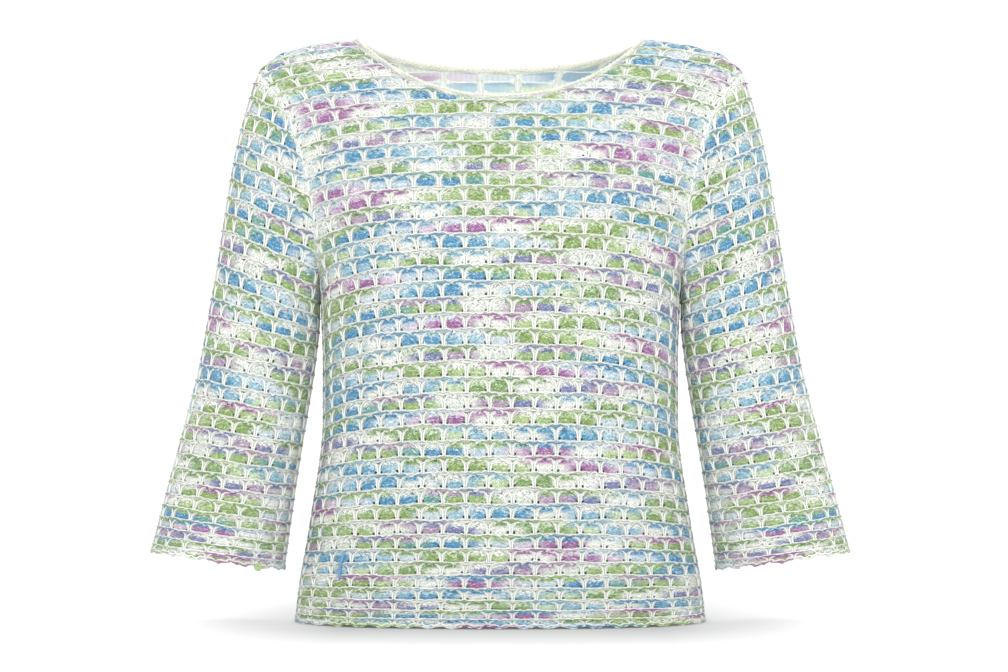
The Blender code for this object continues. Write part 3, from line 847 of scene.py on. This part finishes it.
# %% [markdown]
# ## Strands
#
# The white lattice and the coloured strands are yarns in their own right. A painted line would do
# from afar, but a yarn throws a shadow and hides what lies behind it, so each is a thin tube along
# a path. Four or five sides are enough, because none is more than a few pixels wide. A tube that
# meets a seam thins to a point there.


# %% Tubes along many paths
def strands(name, point, normal, radius, inside, colour, sides=5):
    """Tubes along paths [strand, step], side by side in one mesh.

    At each step a ring stands across the path: cos of its angle along the cloth's outward
    direction, sin across it. Steps between two places beyond the edge are left out.
    """
    count, steps = point.shape[:2]
    way = unit(np.gradient(point, axis=1))
    across = unit(np.cross(way, normal))
    out = unit(np.cross(across, way))
    radius = np.broadcast_to(radius, (count, steps)) * np.where(inside, 1.0, 0.05)
    angle = (np.arange(sides) * 2 * np.pi / sides)[:, None]
    ring = np.cos(angle) * out[:, :, None, :] + np.sin(angle) * across[:, :, None, :]
    rings = (point[:, :, None, :] + ring * radius[:, :, None, None]) * MM
    index = np.arange(count * steps * sides).reshape(count, steps, sides)
    a, b = index[:, :-1], index[:, 1:]
    faces = np.stack([a, b, np.roll(b, -1, axis=2), np.roll(a, -1, axis=2)], axis=-1)
    keep = inside[:, :-1] | inside[:, 1:]
    quads = faces[keep].reshape(-1, 4)
    before, after = np.zeros((2, count, steps), bool)
    before[:, 1:] = after[:, :-1] = keep
    caps = np.concatenate([index[after & ~before], index[before & ~after][:, ::-1]])
    stretch = np.linalg.norm(np.diff(point, axis=1), axis=2)
    length = np.concatenate([np.zeros((count, 1)), np.cumsum(stretch, axis=1)], axis=1)
    along = np.broadcast_to(length[:, :, None], index.shape).ravel()
    turn = np.broadcast_to(np.arange(sides) / sides, faces.shape[:3])[keep].reshape(-1, 1)
    wrap = turn + np.array([0.0, 0.0, 1 / sides, 1 / sides])
    quad_uv = np.stack([along[quads], wrap], axis=-1).reshape(-1, 2)
    cap_uv = np.stack([along[caps], np.zeros(caps.shape)], axis=-1).reshape(-1, 2)
    spread = np.broadcast_to(colour[:, :, None, :], (count, steps, sides, 3)).reshape(-1, 3)
    tint = spread[np.concatenate([quads.ravel(), caps.ravel()])]
    uv = np.concatenate([quad_uv, cap_uv])
    item = mesh_from(name, rings.reshape(-1, 3), [quads, caps], uv, {"tint": tint})
    print(name, len(quads) * 2 + len(caps) * (sides - 2), "triangles in", count, "strands")
    return item


def along_line(at, arc, line):
    """Places or directions at lengths along a line, from those known at the lengths in arc."""
    return np.stack([np.interp(at, arc, line[:, k]) for k in range(3)], axis=-1)


def motifs(first, last, rows, sides=(0.0,)):
    """Column, row and side of every copy of a motif, as three columns of numbers."""
    grid = np.meshgrid(np.arange(first, last), rows, sides, indexing="ij")
    return [x.reshape(-1, 1) for x in grid]


def pale(colour, share):
    """White yarn that takes a little of the colour beside it."""
    return WHITE * (1 - share) + colour * share


def raise_path(mapping, u, v, lift):
    """Path points at columns u and rows v, raised by lift mm, with directions and inside flags."""
    point, normal, inside, _ = mapping(u, v)
    return point + normal * np.asarray(lift)[..., None], normal, inside


def ridge_strands(name, mapping, columns, rows, seed):
    """The knotty white ridge that runs along the foot of every row of coins.

    Its steps fall at unlike places of each knot, so it zigzags; it hangs a little below each coin.
    """
    per = 6
    u = np.arange(columns * per + 1) / per
    v = np.arange(0, rows)[:, None]
    u, v = np.broadcast_arrays(u, v)
    knot = np.sin(2 * np.pi * 2.7 * u + 1.9 * v)
    wave = 0.03 * np.cos(2 * np.pi * u) + 0.055 * knot
    lift = 0.1 + 0.25 * np.cos(2 * np.pi * 3.3 * u + v)
    point, normal, inside = raise_path(mapping, u, v + 0.03 + wave, lift)
    radius = 0.66 + 0.28 * np.sin(2 * np.pi * 2.3 * u + 4 * v)
    colour = pale(yarn_colour(u, v * 1.0, 0, seed), 0.2)
    return strands(name, point, normal, radius, inside, colour)


def column_strands(name, mapping, columns, rows, seed, closed):
    """Pairs of long white stitches between coins, which part above like a Y."""
    across = np.array([0.045, 0.045, 0.055, 0.096, 0.180, 0.305])
    up = np.array([-0.02, 0.22, 0.45, 0.66, 0.82, 0.91])
    lift = np.array([-0.8, -0.1, 0.0, 0.05, 0.0, -0.5])
    radius = np.array([0.80, 0.82, 0.80, 0.68, 0.58, 0.48])
    u, v, side = motifs(0, columns if closed else columns + 1, np.arange(rows), [-1.0, 1.0])
    jog = 0.02 * np.sin(5.1 * u + 3.3 * v + seed)
    at_u = u + side * across + jog
    if not closed:
        at_u = np.clip(at_u, 0, columns)
    point, normal, inside = raise_path(mapping, at_u, v + up, np.broadcast_to(lift, at_u.shape))
    colour = pale(yarn_colour(at_u, v + 0.0 * at_u, 1, seed), 0.05)
    return strands(name, point, normal, radius, inside, colour)


def bridge_strands(name, mapping, columns, rows, seed, closed):
    """Coloured strands that link the tops of neighbouring coins behind the white Y."""
    across = np.array([-0.40, -0.22, 0.0, 0.22, 0.40])
    up = np.array([0.885, 0.93, 0.865, 0.93, 0.885])
    lift = np.array([-0.5, 0.3, 0.7, 0.3, -0.5])
    u, v, _ = motifs(0 if closed else 1, columns, np.arange(rows))
    at_u = u + across
    point, normal, inside = raise_path(mapping, at_u, v + up, np.broadcast_to(lift, at_u.shape))
    colour = yarn_colour(at_u, v + 0.0 * at_u, 1, seed)
    radius = (0.78 + 0.2 * np.sin(9.1 * at_u + 4.3 * v)) * np.array([0.5, 0.95, 1.15, 0.95, 0.5])
    return strands(name, point, normal, radius, inside, colour, sides=4)


# %% [markdown]
# ## Yarn finishes
#
# The yarns are soft and matt with a little sheen from their fibres. The coins show their courses as
# rows of small V stitches, in relief and in painted shade, with painted shade in their folds that
# deepens towards their top, under the strands, and a spot of painted shade, the dark inside seen
# through a gap, at each of their lower corners and in the fork of the white stitches. The strands
# show their twist, in relief and in painted shade between the plies. Light passes through the band,
# which is thin and fine; a faint glow of its own stands in for that.

# %% Where the coin is in its cell
coin_knit, tree, shader = new_material("coin_knit", 0.82)
column, row = cell_place(tree)
s, t = column.part(), row.part()
rough = grain(tree, 420.0)
fuzz = rough - 0.5
off_middle = (s - 0.5).size()
side = off_middle * (1 / COIN_HALF)
above = ((t - COIN_FOOT) * (1 / COIN_RISE)).clip()
below = ((COIN_FOOT - t) * (1 / COIN_FALL)).clip()
coin = ((1.0 - side ** 2.8 - above ** 2.2 - below ** 4.0 + 1.1 * fuzz) * 4.0).clip()

# %% Its courses and stitches
arc_up = row + 0.30 * (s - 0.5) * (s - 0.5) * 4.0  # the courses rise at a coin's middle
course = add_node(tree, "ShaderNodeCombineXYZ", {}, {0: column * 6.0, 1: arc_up * 7.5})
noise = {"Vector": course, "Scale": 1.0, "Detail": 3.0, "Distortion": 1.6}
streak = add_node(tree, "ShaderNodeTexNoise", {}, noise)
fold = (arc_up * 4.0 + 0.7 * (streak - 0.5)).wave()
stitch = ((column * 5.5).part() - 0.5).size() * 2.0
vees = (row * 4.5 + stitch * 0.9 + 0.8 * fuzz).wave()
groove = fold * 0.36 + vees * 0.48 + (fuzz + 0.5) * 0.4

# %% Its colours and painted shade
STITCH_SHADE = (0.05, 0.09, 0.10)  # between a coin's stitches
FOLD_SHADE = (0.03, 0.05, 0.07)  # in its deep folds
PLAIN_SHADE = (0.30, 0.31, 0.30)  # between the white stitches beside it
# painted specks of shade in the knit
SHADE_SPECK = (0.12, 0.14, 0.13)
# painted shade: the dark inside seen through a small gap in the knit
GAP_SHADE = (0.05, 0.06, 0.06)


def gap_shade_spot(across, up, narrow, low, size):
    """1 in a small frayed spot of painted shade, a share across from the cell's middle and a share
    up it.
    """
    x, y = (off_middle - across) * narrow, (t - up) * low
    return ((size - x * x - y * y + 3.0 * fuzz) * 2.0).clip()


low, high = stored(tree, "low"), stored(tree, "high")
dyed = mix(tree, ((t - 0.45 + 0.5 * (streak - 0.5)) * 5.0).clip(), low, high)
dyed = mix(tree, ((streak - 0.53) * 7.0).clip() * 0.6, dyed, tuple(WHITE))
# painted shade in the folds, deepest towards the coin's top, under the strands above it
shade_towards_top = ((t - 0.45) * 2.8).clip() * 0.6 + 0.4
dyed = mix(tree, ((0.51 - streak) * 7.0).clip() * shade_towards_top, dyed, FOLD_SHADE)
dyed = mix(tree, ((0.56 - groove) * 2.4).clip() * 0.5, dyed, STITCH_SHADE)
# The plain knit: white a little darker than the strands, as painted shade under them, with a little
# of the coin's lower colour, and painted shade between its stitches.
plain = mix(tree, 0.12, tuple(WHITE * 0.95), low)
plain = mix(tree, ((0.52 - vees) * 2.0 + 2.0 * fuzz).clip() * 0.5, plain, PLAIN_SHADE)
colour = mix(tree, coin, plain, dyed)
# painted specks of shade, at random places
colour = mix(tree, ((rough - 0.60) * 12.0).clip() * 0.55, colour, SHADE_SPECK)
# spots of painted shade at each coin's lower corners and in the forks of the white stitches, for
# gaps
painted_gap_shade = gap_shade_spot(0.385, 0.15, 26.0, 11.0, 1.0) + gap_shade_spot(0.5, 0.74, 30.0, 14.0, 0.8)
colour = mix(tree, painted_gap_shade.clip() * 0.75, colour, GAP_SHADE)
give(tree, shader, colour, height=groove + 0.4 * fuzz, depth=0.0009)
print("coin knit:", len(tree.nodes), "nodes")


# %% Twisted yarn material
BAND_GLOW = 0.13  # how much of its colour the band gives off


def yarn_finish(name, twist, glow=0.0):
    """Yarn of a few plies: slanting grooves, in relief and painted shade, from length along a
    strand and turn round it.
    """
    material, tree, shader = new_material(name, 0.8)
    along, around = cell_place(tree)
    ply = (along * twist + around * 2.0).wave()
    noise = grain(tree, 800.0, detail=2.0)
    # painted shade in the grooves between the plies, with uneven tone from noise, darkens the tint
    # towards grey
    grey = (1.0 - ply) * 0.16 + (noise - 0.5) * 0.3
    colour = mix(tree, grey, stored(tree, "tint"), (0.45, 0.46, 0.46))
    give(tree, shader, colour, glow, ply + 0.6 * noise, 0.0004)
    return material


white_yarn = yarn_finish("white_yarn", 0.55)
band_yarn = yarn_finish("band_yarn", 0.55, BAND_GLOW)
dyed_yarn = yarn_finish("dyed_yarn", 0.7)
print("yarn finishes are ready")

# %% [markdown]
# ## Knit the panels and sleeves
#
# The same four makers run on each piece: sheet with coins, ridges, white stitches and bridges.


# %% Knit one piece
def knit(name, mapping, columns, rows, seed, closed):
    """All the yarns of one piece; the sheet of coins replaces the CAD wall."""
    sheet, flat_area = cell_sheet(name + "_coins", mapping, columns, rows, seed, closed)
    extras = [
        ridge_strands(name + "_ridges", mapping, columns, rows, seed),
        column_strands(name + "_lattice", mapping, columns, rows, seed, closed),
        bridge_strands(name + "_bridges", mapping, columns, rows, seed, closed),
    ]
    for item, yarn in zip((sheet, *extras), (coin_knit, white_yarn, white_yarn, dyed_yarn)):
        dress(item, yarn)
    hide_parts(name)
    return sheet, extras, flat_area


def panel_mapping(back):
    """Columns are counted from the side at -x, 0 to 21."""
    return lambda u, v: on_panel(u - COLUMNS / 2, v, back)


def sleeve_mapping(mirror):
    """Columns are counted from the outermost one, first towards the front, 0 to 17."""
    return lambda u, v: on_sleeve(u, v, mirror)


# each piece: its mapping, columns, rows, where along the yarn it begins, and whether it is a tube
PIECES = {
    "front": (panel_mapping(False), COLUMNS, ROWS, 31.0, False),
    "back": (panel_mapping(True), COLUMNS, ROWS, 44.0, False),
    "sleeve_left": (sleeve_mapping(1.0), ROUND_COLUMNS, SLEEVE_ROWS, 39.0, True),
    "sleeve_right": (sleeve_mapping(-1.0), ROUND_COLUMNS, SLEEVE_ROWS, 32.5, True),
}
knitted = {name: knit(name, *settings) for name, settings in PIECES.items()}

# %% [markdown]
# ## The neck band
#
# The band is knitted on round the neck: a narrow, fine, cream edging of a few close courses. It
# carries on from the panels' upper edge and leans in and up. A rounded strip is carried along the
# neck curve, with its courses as small ribs on both faces.


# %% Neck curve
def neck_line(back):
    """Points and outward directions along one panel's neck edge, from -x to +x."""
    x = NECK_X * np.sin(np.linspace(-np.pi / 2, np.pi / 2, 121))
    z = np.where(np.abs(x) < NECK_X - 0.01, top_height(x, back), SHOULDER_TOP)
    fraction = np.zeros_like(x)
    for _ in range(40):
        slip = x - body_point(fraction, z, back)[:, 0]
        fraction = np.clip(fraction + slip / 320.0, -1, 1)
    point = body_point(fraction, z, back)
    normal = body_normal(fraction, z, back)
    point[[0, -1], 1] = 0.0
    return point, normal


front_line, back_line = neck_line(False), neck_line(True)
neck_points = np.concatenate([front_line[0], back_line[0][-2:0:-1]])
neck_normals = np.concatenate([front_line[1], back_line[1][-2:0:-1]])
for _ in range(12):
    around = np.roll(neck_normals, 1, axis=0) + np.roll(neck_normals, -1, axis=0)
    neck_normals = unit(neck_normals * 2 + around)
neck_along = unit(np.roll(neck_points, -1, axis=0) - np.roll(neck_points, 1, axis=0))
neck_beyond = unit(np.cross(neck_normals, neck_along))
neck_beyond *= np.sign(((np.array([0, 0, 60.0]) - neck_points) * neck_beyond).sum(1))[:, None]
neck_rise = unit(neck_beyond + np.array([0, 0, 0.5]))
neck_face = unit(neck_normals - neck_rise * (neck_normals * neck_rise).sum(1)[:, None])
girth = np.linalg.norm(np.roll(neck_points, -1, axis=0) - neck_points, axis=1)
neck_run = np.append(0, np.cumsum(girth))
print("neck edge, mm round:", girth.sum().round())


# %% Neck band mesh
BAND_RIB = 1.22  # height of one course of the band, mm
BAND_FOOT = -1.2  # where the band begins, from the panel's edge
CREAM = linear(234, 231, 217)


def band_profile():
    """Height and depth of the band's outline: five small ribs up its face, over, and down."""
    up = np.linspace(BAND_FOOT, 4.9, 21)
    rib = 0.12 * np.abs(np.sin(np.pi * (up - BAND_FOOT) / BAND_RIB))
    lean = np.clip((up - 2.5) / 3.0, 0, 1) * 0.35
    outer = np.stack([up, -0.35 + rib - lean], axis=1)
    inner = np.stack([up, -2.35 - rib + lean], axis=1)[::-1]
    turn = np.linspace(0, np.pi, 6)[1:-1]
    cap = np.stack([4.9 + 0.4 * np.sin(turn), -1.35 + 0.65 * np.cos(turn)], axis=1)
    return np.concatenate([outer, cap, inner])


def band_colour(run, course, share):
    """Cream with a share of the dyed yarn, at a length along the neck and a course of the band."""
    return CREAM * (1 - share) + dye(run / 7 + course * 7.7) * share


def band_mesh(name):
    """The profile carried round the neck, closed both ways; its lower courses take some dye."""
    profile = band_profile()
    count, width = len(neck_points), len(profile)
    point = (
        neck_points[:, None]
        + neck_rise[:, None] * profile[None, :, :1]
        + neck_face[:, None] * profile[None, :, 1:]
    )
    index = np.arange(count * width).reshape(count, width)
    a, b = index, np.roll(index, -1, axis=0)
    faces = np.stack([a, b, np.roll(b, -1, axis=1), np.roll(a, -1, axis=1)], axis=-1).reshape(-1, 4)
    i, j = np.divmod(np.arange(count * width), width)
    run = np.stack([neck_run[i], neck_run[i + 1], neck_run[i + 1], neck_run[i]], axis=-1)
    rise = profile[np.stack([j, j, (j + 1) % width, (j + 1) % width], axis=-1), 0]
    uv = np.stack([run, rise], axis=-1)
    course = np.floor((rise - BAND_FOOT) / BAND_RIB)
    share = np.array([0.6, 0.5, 0.4, 0.3, 0.1, 0.0])[course.astype(int)][..., None]
    tint = band_colour(run, course, share)
    uv, tint = uv[:, ::-1].reshape(-1, 2), tint[:, ::-1].reshape(-1, 3)
    return mesh_from(name, point.reshape(-1, 3) * MM, [faces[:, ::-1]], uv, {"tint": tint})


# each course: how far up the band, how far out, and its share of dye; the last three lie inside
BAND_COURSES = np.array([
    (-0.7, 0.10, 0.6), (0.6, 0.05, 0.55), (1.9, 0.0, 0.45), (3.2, -0.10, 0.35), (4.7, -0.9, 0.15),
    (0.9, -2.6, 0.4), (2.3, -2.55, 0.3), (3.8, -2.4, 0.1),
])


def band_courses(name):
    """The band's courses as knotty strands that sway up and down and swell as they run."""
    rise, face, share = BAND_COURSES.T[:, :, None]
    number = np.arange(len(BAND_COURSES))[:, None]
    run = np.linspace(0, neck_run[-1], 841)[None]
    round_neck = [np.append(v, v[:1], axis=0) for v in (neck_points, neck_rise, neck_face)]
    place, up, out = (along_line(run[0], neck_run, line) for line in round_neck)
    sway = 0.5 * np.sin(2 * np.pi * run / 5.3 + 2.4 * number)
    point = place + up * (rise + sway)[..., None] + out * (face + 0.0 * run)[..., None]
    normal = np.where(number[..., None] < 5, 1.0, -1.0) * unit(out)[None]
    radius = 0.58 + 0.24 * np.sin(2 * np.pi * run / 4.1 + 1.7 * number)
    shade = 0.92 + 0.08 * np.sin(2 * np.pi * run / 4.7 + 2.4 * number)
    colour = band_colour(run, number, share[..., None]) * shade[..., None]
    item = strands(name, point, normal, radius, np.ones(radius.shape, bool), colour)
    return dress(item, band_yarn)


band = band_mesh("neckband_knit")
courses_of_band = band_courses("neckband_courses")
print("band:", len(band.data.polygons) * 2, "triangles")

# %% Cream band material
cream_knit, tree, shader = new_material("cream_knit", 0.85)
run, rise = cell_place(tree)
soft = grain(tree, 500.0)
loops = (run * (1 / 2.3)).wave()
courses = ((rise - BAND_FOOT) * (1 / BAND_RIB) + 0.748).wave()
shade = (1.0 - courses) * 0.35 + (1.0 - loops) * 0.12 + (soft - 0.5) * 0.5
colour = mix(tree, shade, stored(tree, "tint"), tuple(linear(176, 178, 168)))
give(tree, shader, colour, BAND_GLOW, loops * 0.5 + courses + 0.5 * soft, 0.0005)
dress(band, cream_knit)
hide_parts("neckband")
width = float(girth.sum()) * MM

# %% [markdown]
# ## Seams
#
# The sleeves are sewn in by hand with white yarn, which draws the cells together into a pale,
# knotty line. Two zigzagging strands follow the armhole seam; a pair more closes the shoulder.


# %% Seam strands
SEAM_ZIGZAG = 6.5  # mm from one stitch to the next
SEAM_STEP = 1.6  # mm from one ring of the tube to the next


def seam_strand(name, line, outward, width, reach):
    """White strands that zigzag across a seam line, given as points and outward directions.

    width is how far they sway to each side, and reach how far outside the line they lie, in mm.
    """
    arc = np.append(0, np.cumsum(np.linalg.norm(np.diff(line, axis=0), axis=1)))
    count = int(arc[-1] / SEAM_STEP)
    at = np.linspace(0, arc[-1], count)
    path, out = along_line(at, arc, line), unit(along_line(at, arc, outward))
    side = unit(np.cross(unit(np.gradient(path, axis=0)), out))
    sign = np.array([[-1.0], [1.0]])
    phase = at / SEAM_ZIGZAG * 2 * np.pi + sign
    sway = width * np.sin(phase) + 0.35 * np.sin(phase * 0.37 + sign)
    lift = reach + 0.35 * sign * np.cos(phase)
    paths = path + side * sway[..., None] + out * lift[..., None]
    outs = np.broadcast_to(out, paths.shape)
    sizes = 0.85 + 0.15 * np.sin(phase * 1.7)
    colour = np.broadcast_to(WHITE, paths.shape)
    item = strands(name, paths, outs, sizes, np.ones((2, count), bool), colour)
    return dress(item, white_yarn)


seam_out = unit((seam - (150.0, 0, 0)) * (1, 1, 0))
upward = np.clip((seam[:, 2:] + 90) / 60, 0, 1) * (0, 0, 1.0)
seam_out = unit(seam_out + (0.35, 0, 0) + upward)
seams, shoulders = {}, []
for label, flip in (("left", 1.0), ("right", -1.0)):
    mirror = np.array([flip, 1, 1])
    loop = np.concatenate([seam, seam[:1]]) * mirror
    loop_out = np.concatenate([seam_out, seam_out[:1]]) * mirror
    seams[label] = seam_strand("armhole_seam_" + label, loop, loop_out, 1.5, -0.3)
    x = np.linspace(NECK_X, SHOULDER_X, 60) * flip
    ridge = np.stack([x, 0 * x, shoulder_height(x)], axis=1)
    up = np.broadcast_to(np.array([0.12 * flip, 0, 1.0]), ridge.shape)
    shoulders.append(seam_strand("shoulder_seam_" + label, ridge, up, 1.0, -0.7))

# %% [markdown]
# ## Scalloped edging
#
# Hem and cuffs end in a row of shallow loops, one under each coin, worked in the dyed yarn with a
# white chain above. They hang down most at each coin's middle.


# %% Edging
def edging(name, mapping, columns, seed):
    """Two strands along an edge: the loops of the edge itself, and a chain just above them."""
    per = 8
    u = np.arange(columns * per + 1) / per
    rows = np.array([[0.10], [0.30]])
    u = np.broadcast_to(u, (2, len(u)))
    knot = 0.10 * np.sin(2 * np.pi * 2.6 * u + rows * 9)
    point, normal, inside, _ = mapping(u, rows + knot)
    lift = np.array([[0.15], [0.35]]) + 0.3 * np.cos(2 * np.pi * 3.1 * u)
    point = point + normal * lift[..., None]
    size = np.array([[0.95], [0.85]]) + 0.15 * np.sin(2 * np.pi * 2.2 * u)
    tone = yarn_colour(u, np.full_like(u, -2.0), 0, seed)
    colour = np.stack([tone[0] * 0.9, pale(tone[1], 0.25)])
    return dress(strands(name, point, normal, size, inside, colour), dyed_yarn)


edges = {
    name: edging(name + "_edging", mapping, columns, seed)
    for name, (mapping, columns, _, seed, _) in PIECES.items()
}

# %% [markdown]
# ## Inside of the back
#
# Through the neck one sees the inside of the back, where the white stitches show again between the
# coins. A second wall of coins turned round would do, but from inside a coin is a flat patch and
# not a dome, so this is a plainer sheet of its own with wider, paler cells. Only the topmost rows
# are seen, so only those get it.

# %% Inner strands
FIRST_INSIDE = 34  # the lowest row of the back that gets its inner face
WALL = 2.3  # from the outer face to the inner one, mm
back_map, _, _, back_seed, _ = PIECES["back"]


def inner_map(u, v):
    """The same places of the back seen from inside the cloth, with directions turned round."""
    point, normal, inside, plain = back_map(u, v)
    return point - normal * WALL, -normal, inside, plain


def inside_strands():
    """Ridges and paired upright stitches on the inner face."""
    u = np.arange(COLUMNS * 4 + 1) / 4
    v = np.arange(FIRST_INSIDE, ROWS)[:, None]
    u, v = np.broadcast_arrays(u, v)
    wave = 0.03 * np.cos(2 * np.pi * u) + 0.02 * np.sin(2 * np.pi * 2.6 * u + v)
    point, normal, inside = raise_path(inner_map, u, v + 0.03 + wave, 0 * u)
    colour = pale(yarn_colour(u, v * 1.0, 0, back_seed), 0.1)
    ridges = strands("back_inside_ridges", point, normal, 0.9, inside, colour, sides=4)
    up = np.array([0.0, 0.35, 0.7, 1.0])
    u, v, side = motifs(0, COLUMNS + 1, np.arange(FIRST_INSIDE, ROWS), [-1.0, 1.0])
    at_u = np.clip(u + side * 0.055 + 0 * up, 0, COLUMNS)
    point, normal, inside = raise_path(inner_map, at_u, v + up, 0 * at_u)
    colour = pale(yarn_colour(at_u, v + 0 * at_u, 1, back_seed), 0.05)
    posts = strands("back_inside_posts", point, normal, 0.9, inside, colour, sides=4)
    return [dress(item, white_yarn) for item in (ridges, posts)]


def inside_sheet():
    """The inner face of the cloth: the coins' backs, flat and pale, wide between the stitches."""
    step = 6
    u = np.arange(COLUMNS * step + 1) / step
    v = FIRST_INSIDE + np.arange((ROWS - FIRST_INSIDE) * step + 1) / step
    grid_u, grid_v = np.meshgrid(u, v)
    point, normal, inside, _ = inner_map(grid_u, grid_v)
    point = point + normal * (-0.6 + 0.3 * np.sin(np.pi * np.mod(grid_u, 1)))[..., None]
    index = np.arange(inside.size).reshape(inside.shape)
    corners, some, _ = grid_faces(inside, turned=True)
    place, row = (index, grid_u, grid_v), FIRST_INSIDE + corners[0][0] // step
    white = np.full(inside.shape, 0.3)
    item = dyed_sheet("back_inside_face", point, place, corners, some, row, white, back_seed)
    return dress(item, inner_knit)


# %% Inner face material
inner_knit, tree, shader = new_material("inner_knit", 0.85, sheen=0.0)
column, row = cell_place(tree)
s, t = column.part(), row.part()
low, high = stored(tree, "low"), stored(tree, "high")
fuzz = grain(tree, 300.0) - 0.5
wide = (s - 0.5).size() * (1 / 0.46)
tall = (t - 0.5).size() * (1 / 0.49)
patch = ((1.0 - wide ** 4.0 - tall ** 3.0 + 1.4 * fuzz) * 2.2).clip()
half_way = ((t - 0.5 + 0.6 * fuzz) * 4.0).clip()
colour = mix(tree, patch, tuple(WHITE), mix(tree, half_way, low, high))
ribs = (column * 7.0).wave()
# painted shade between the fine ribs, with uneven tone from noise, darkens the colour towards grey
give(tree, shader, mix(tree, ribs * 0.24 + fuzz * 0.6, colour, (0.46, 0.48, 0.48)))

inside_back = [*inside_strands(), inside_sheet()]

# %% [markdown]
# ## Loose ends
#
# Two ends of yarn have worked loose: a short green loop at one cuff and a blue end near the hem.


# %% Loose ends
def loose_end(name, path, size, shade):
    """A bent end of yarn along a few points, smoothed into a curve."""
    path = np.array(path, float)
    t = np.linspace(0, len(path) - 1, 40)
    k = np.clip(t.astype(int), 0, len(path) - 2)
    p = t - k
    before = path[np.maximum(k - 1, 0)]
    after = path[np.minimum(k + 2, len(path) - 1)]
    a, b = path[k], path[k + 1]
    p = p[:, None]
    curve = 0.5 * (
        2 * a + (b - before) * p + (2 * before - 5 * a + 4 * b - after) * p**2
        + (3 * a - before - 3 * b + after) * p**3
    )
    out = np.broadcast_to(np.array([0.0, -1.0, 0.0]), curve.shape)
    thin = size * np.minimum(1, np.minimum(t, t[::-1]) * 2 + 0.3)
    colour = np.broadcast_to(shade, (1, len(curve), 3))
    inside = np.ones((1, len(curve)), bool)
    return dress(strands(name, curve[None], out[None], thin[None], inside, colour), dyed_yarn)


def spot(mapping, u, v, lift):
    """One point of the cloth, raised by lift mm."""
    point, normal, _, _ = mapping(np.array([u]), np.array([v]))
    return (point + normal * lift)[0]


def column_near(mapping, columns, v, x):
    """The column, on the front half, that passes closest to a distance x from the middle."""
    u = np.linspace(*columns, 400)
    point = mapping(u, np.full_like(u, v))[0]
    return u[np.argmin(np.abs(point[:, 0] - x))]


cuff_map, front_map = sleeve_mapping(-1.0), panel_mapping(False)
at = column_near(cuff_map, (0.2, 8.3), 0.2, -226.5)
root = spot(cuff_map, at, 0.3, 1.0)
loop = [root, root + (-1.4, -1, -2), root + (-2.0, -1.5, -3.8), root + (0.2, -1.6, -5.4),
        root + (2.2, -1.2, -3.8), root + (1.6, -0.8, -2), root + (1.0, 0.2, 0.5)]
green_end = loose_end("green_end", loop, 1.6, linear(160, 190, 124))
at = column_near(front_map, (0, 10), 5.0, -147.5)
blue = [spot(front_map, at + 0.04, 6.9, 0.4), spot(front_map, at + 0.04, 6.5, 1.6),
        spot(front_map, at - 0.03, 5.8, 2.0), spot(front_map, at - 0.06, 5.2, 1.9),
        spot(front_map, at - 0.08, 4.7, 0.9)]
blue_end = loose_end("blue_end", blue, 1.5, linear(98, 152, 192))

# %% [markdown]
# ## Cut of each piece
#
# Cloth that hangs keeps the size it was knitted at, so each piece's flat size is measured along its
# own surface: the longest row, the longest column, and the area of the plain knit under the coins.
# A sleeve is a tube, and its width is all the way round.


# %% Cut of each piece
def widest(mapping, columns, rows):
    """The lengths of a piece's longest row and of its longest column, in metres."""
    u, v = np.meshgrid(np.linspace(0, columns, 120), np.linspace(0, rows, 160))
    point, _, inside, _ = mapping(u, v)
    across = np.linalg.norm(np.diff(point, axis=1), axis=2) * (inside[:, 1:] & inside[:, :-1])
    along = np.linalg.norm(np.diff(point, axis=0), axis=2) * (inside[1:] & inside[:-1])
    return float(across.sum(1).max()) * MM, float(along.sum(0).max()) * MM


goes_with = {
    "front": [blue_end],
    "back": [*inside_back, *shoulders],
    "sleeve_left": [seams["left"]],
    "sleeve_right": [green_end, seams["right"]],
}
for name, (sheet, extras, flat_area) in knitted.items():
    mapping, columns, rows, _, _ = PIECES[name]
    width, length = widest(mapping, columns, rows)
    extras = [*extras, edges[name], *goes_with[name]]

# %% [markdown]
#
# The knit may stand a little proud of the plain walls; the box round all that is shown is printed.

low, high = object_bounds()
print("visual box, metres:", [round(x, 3) for x in (*low, *high)])
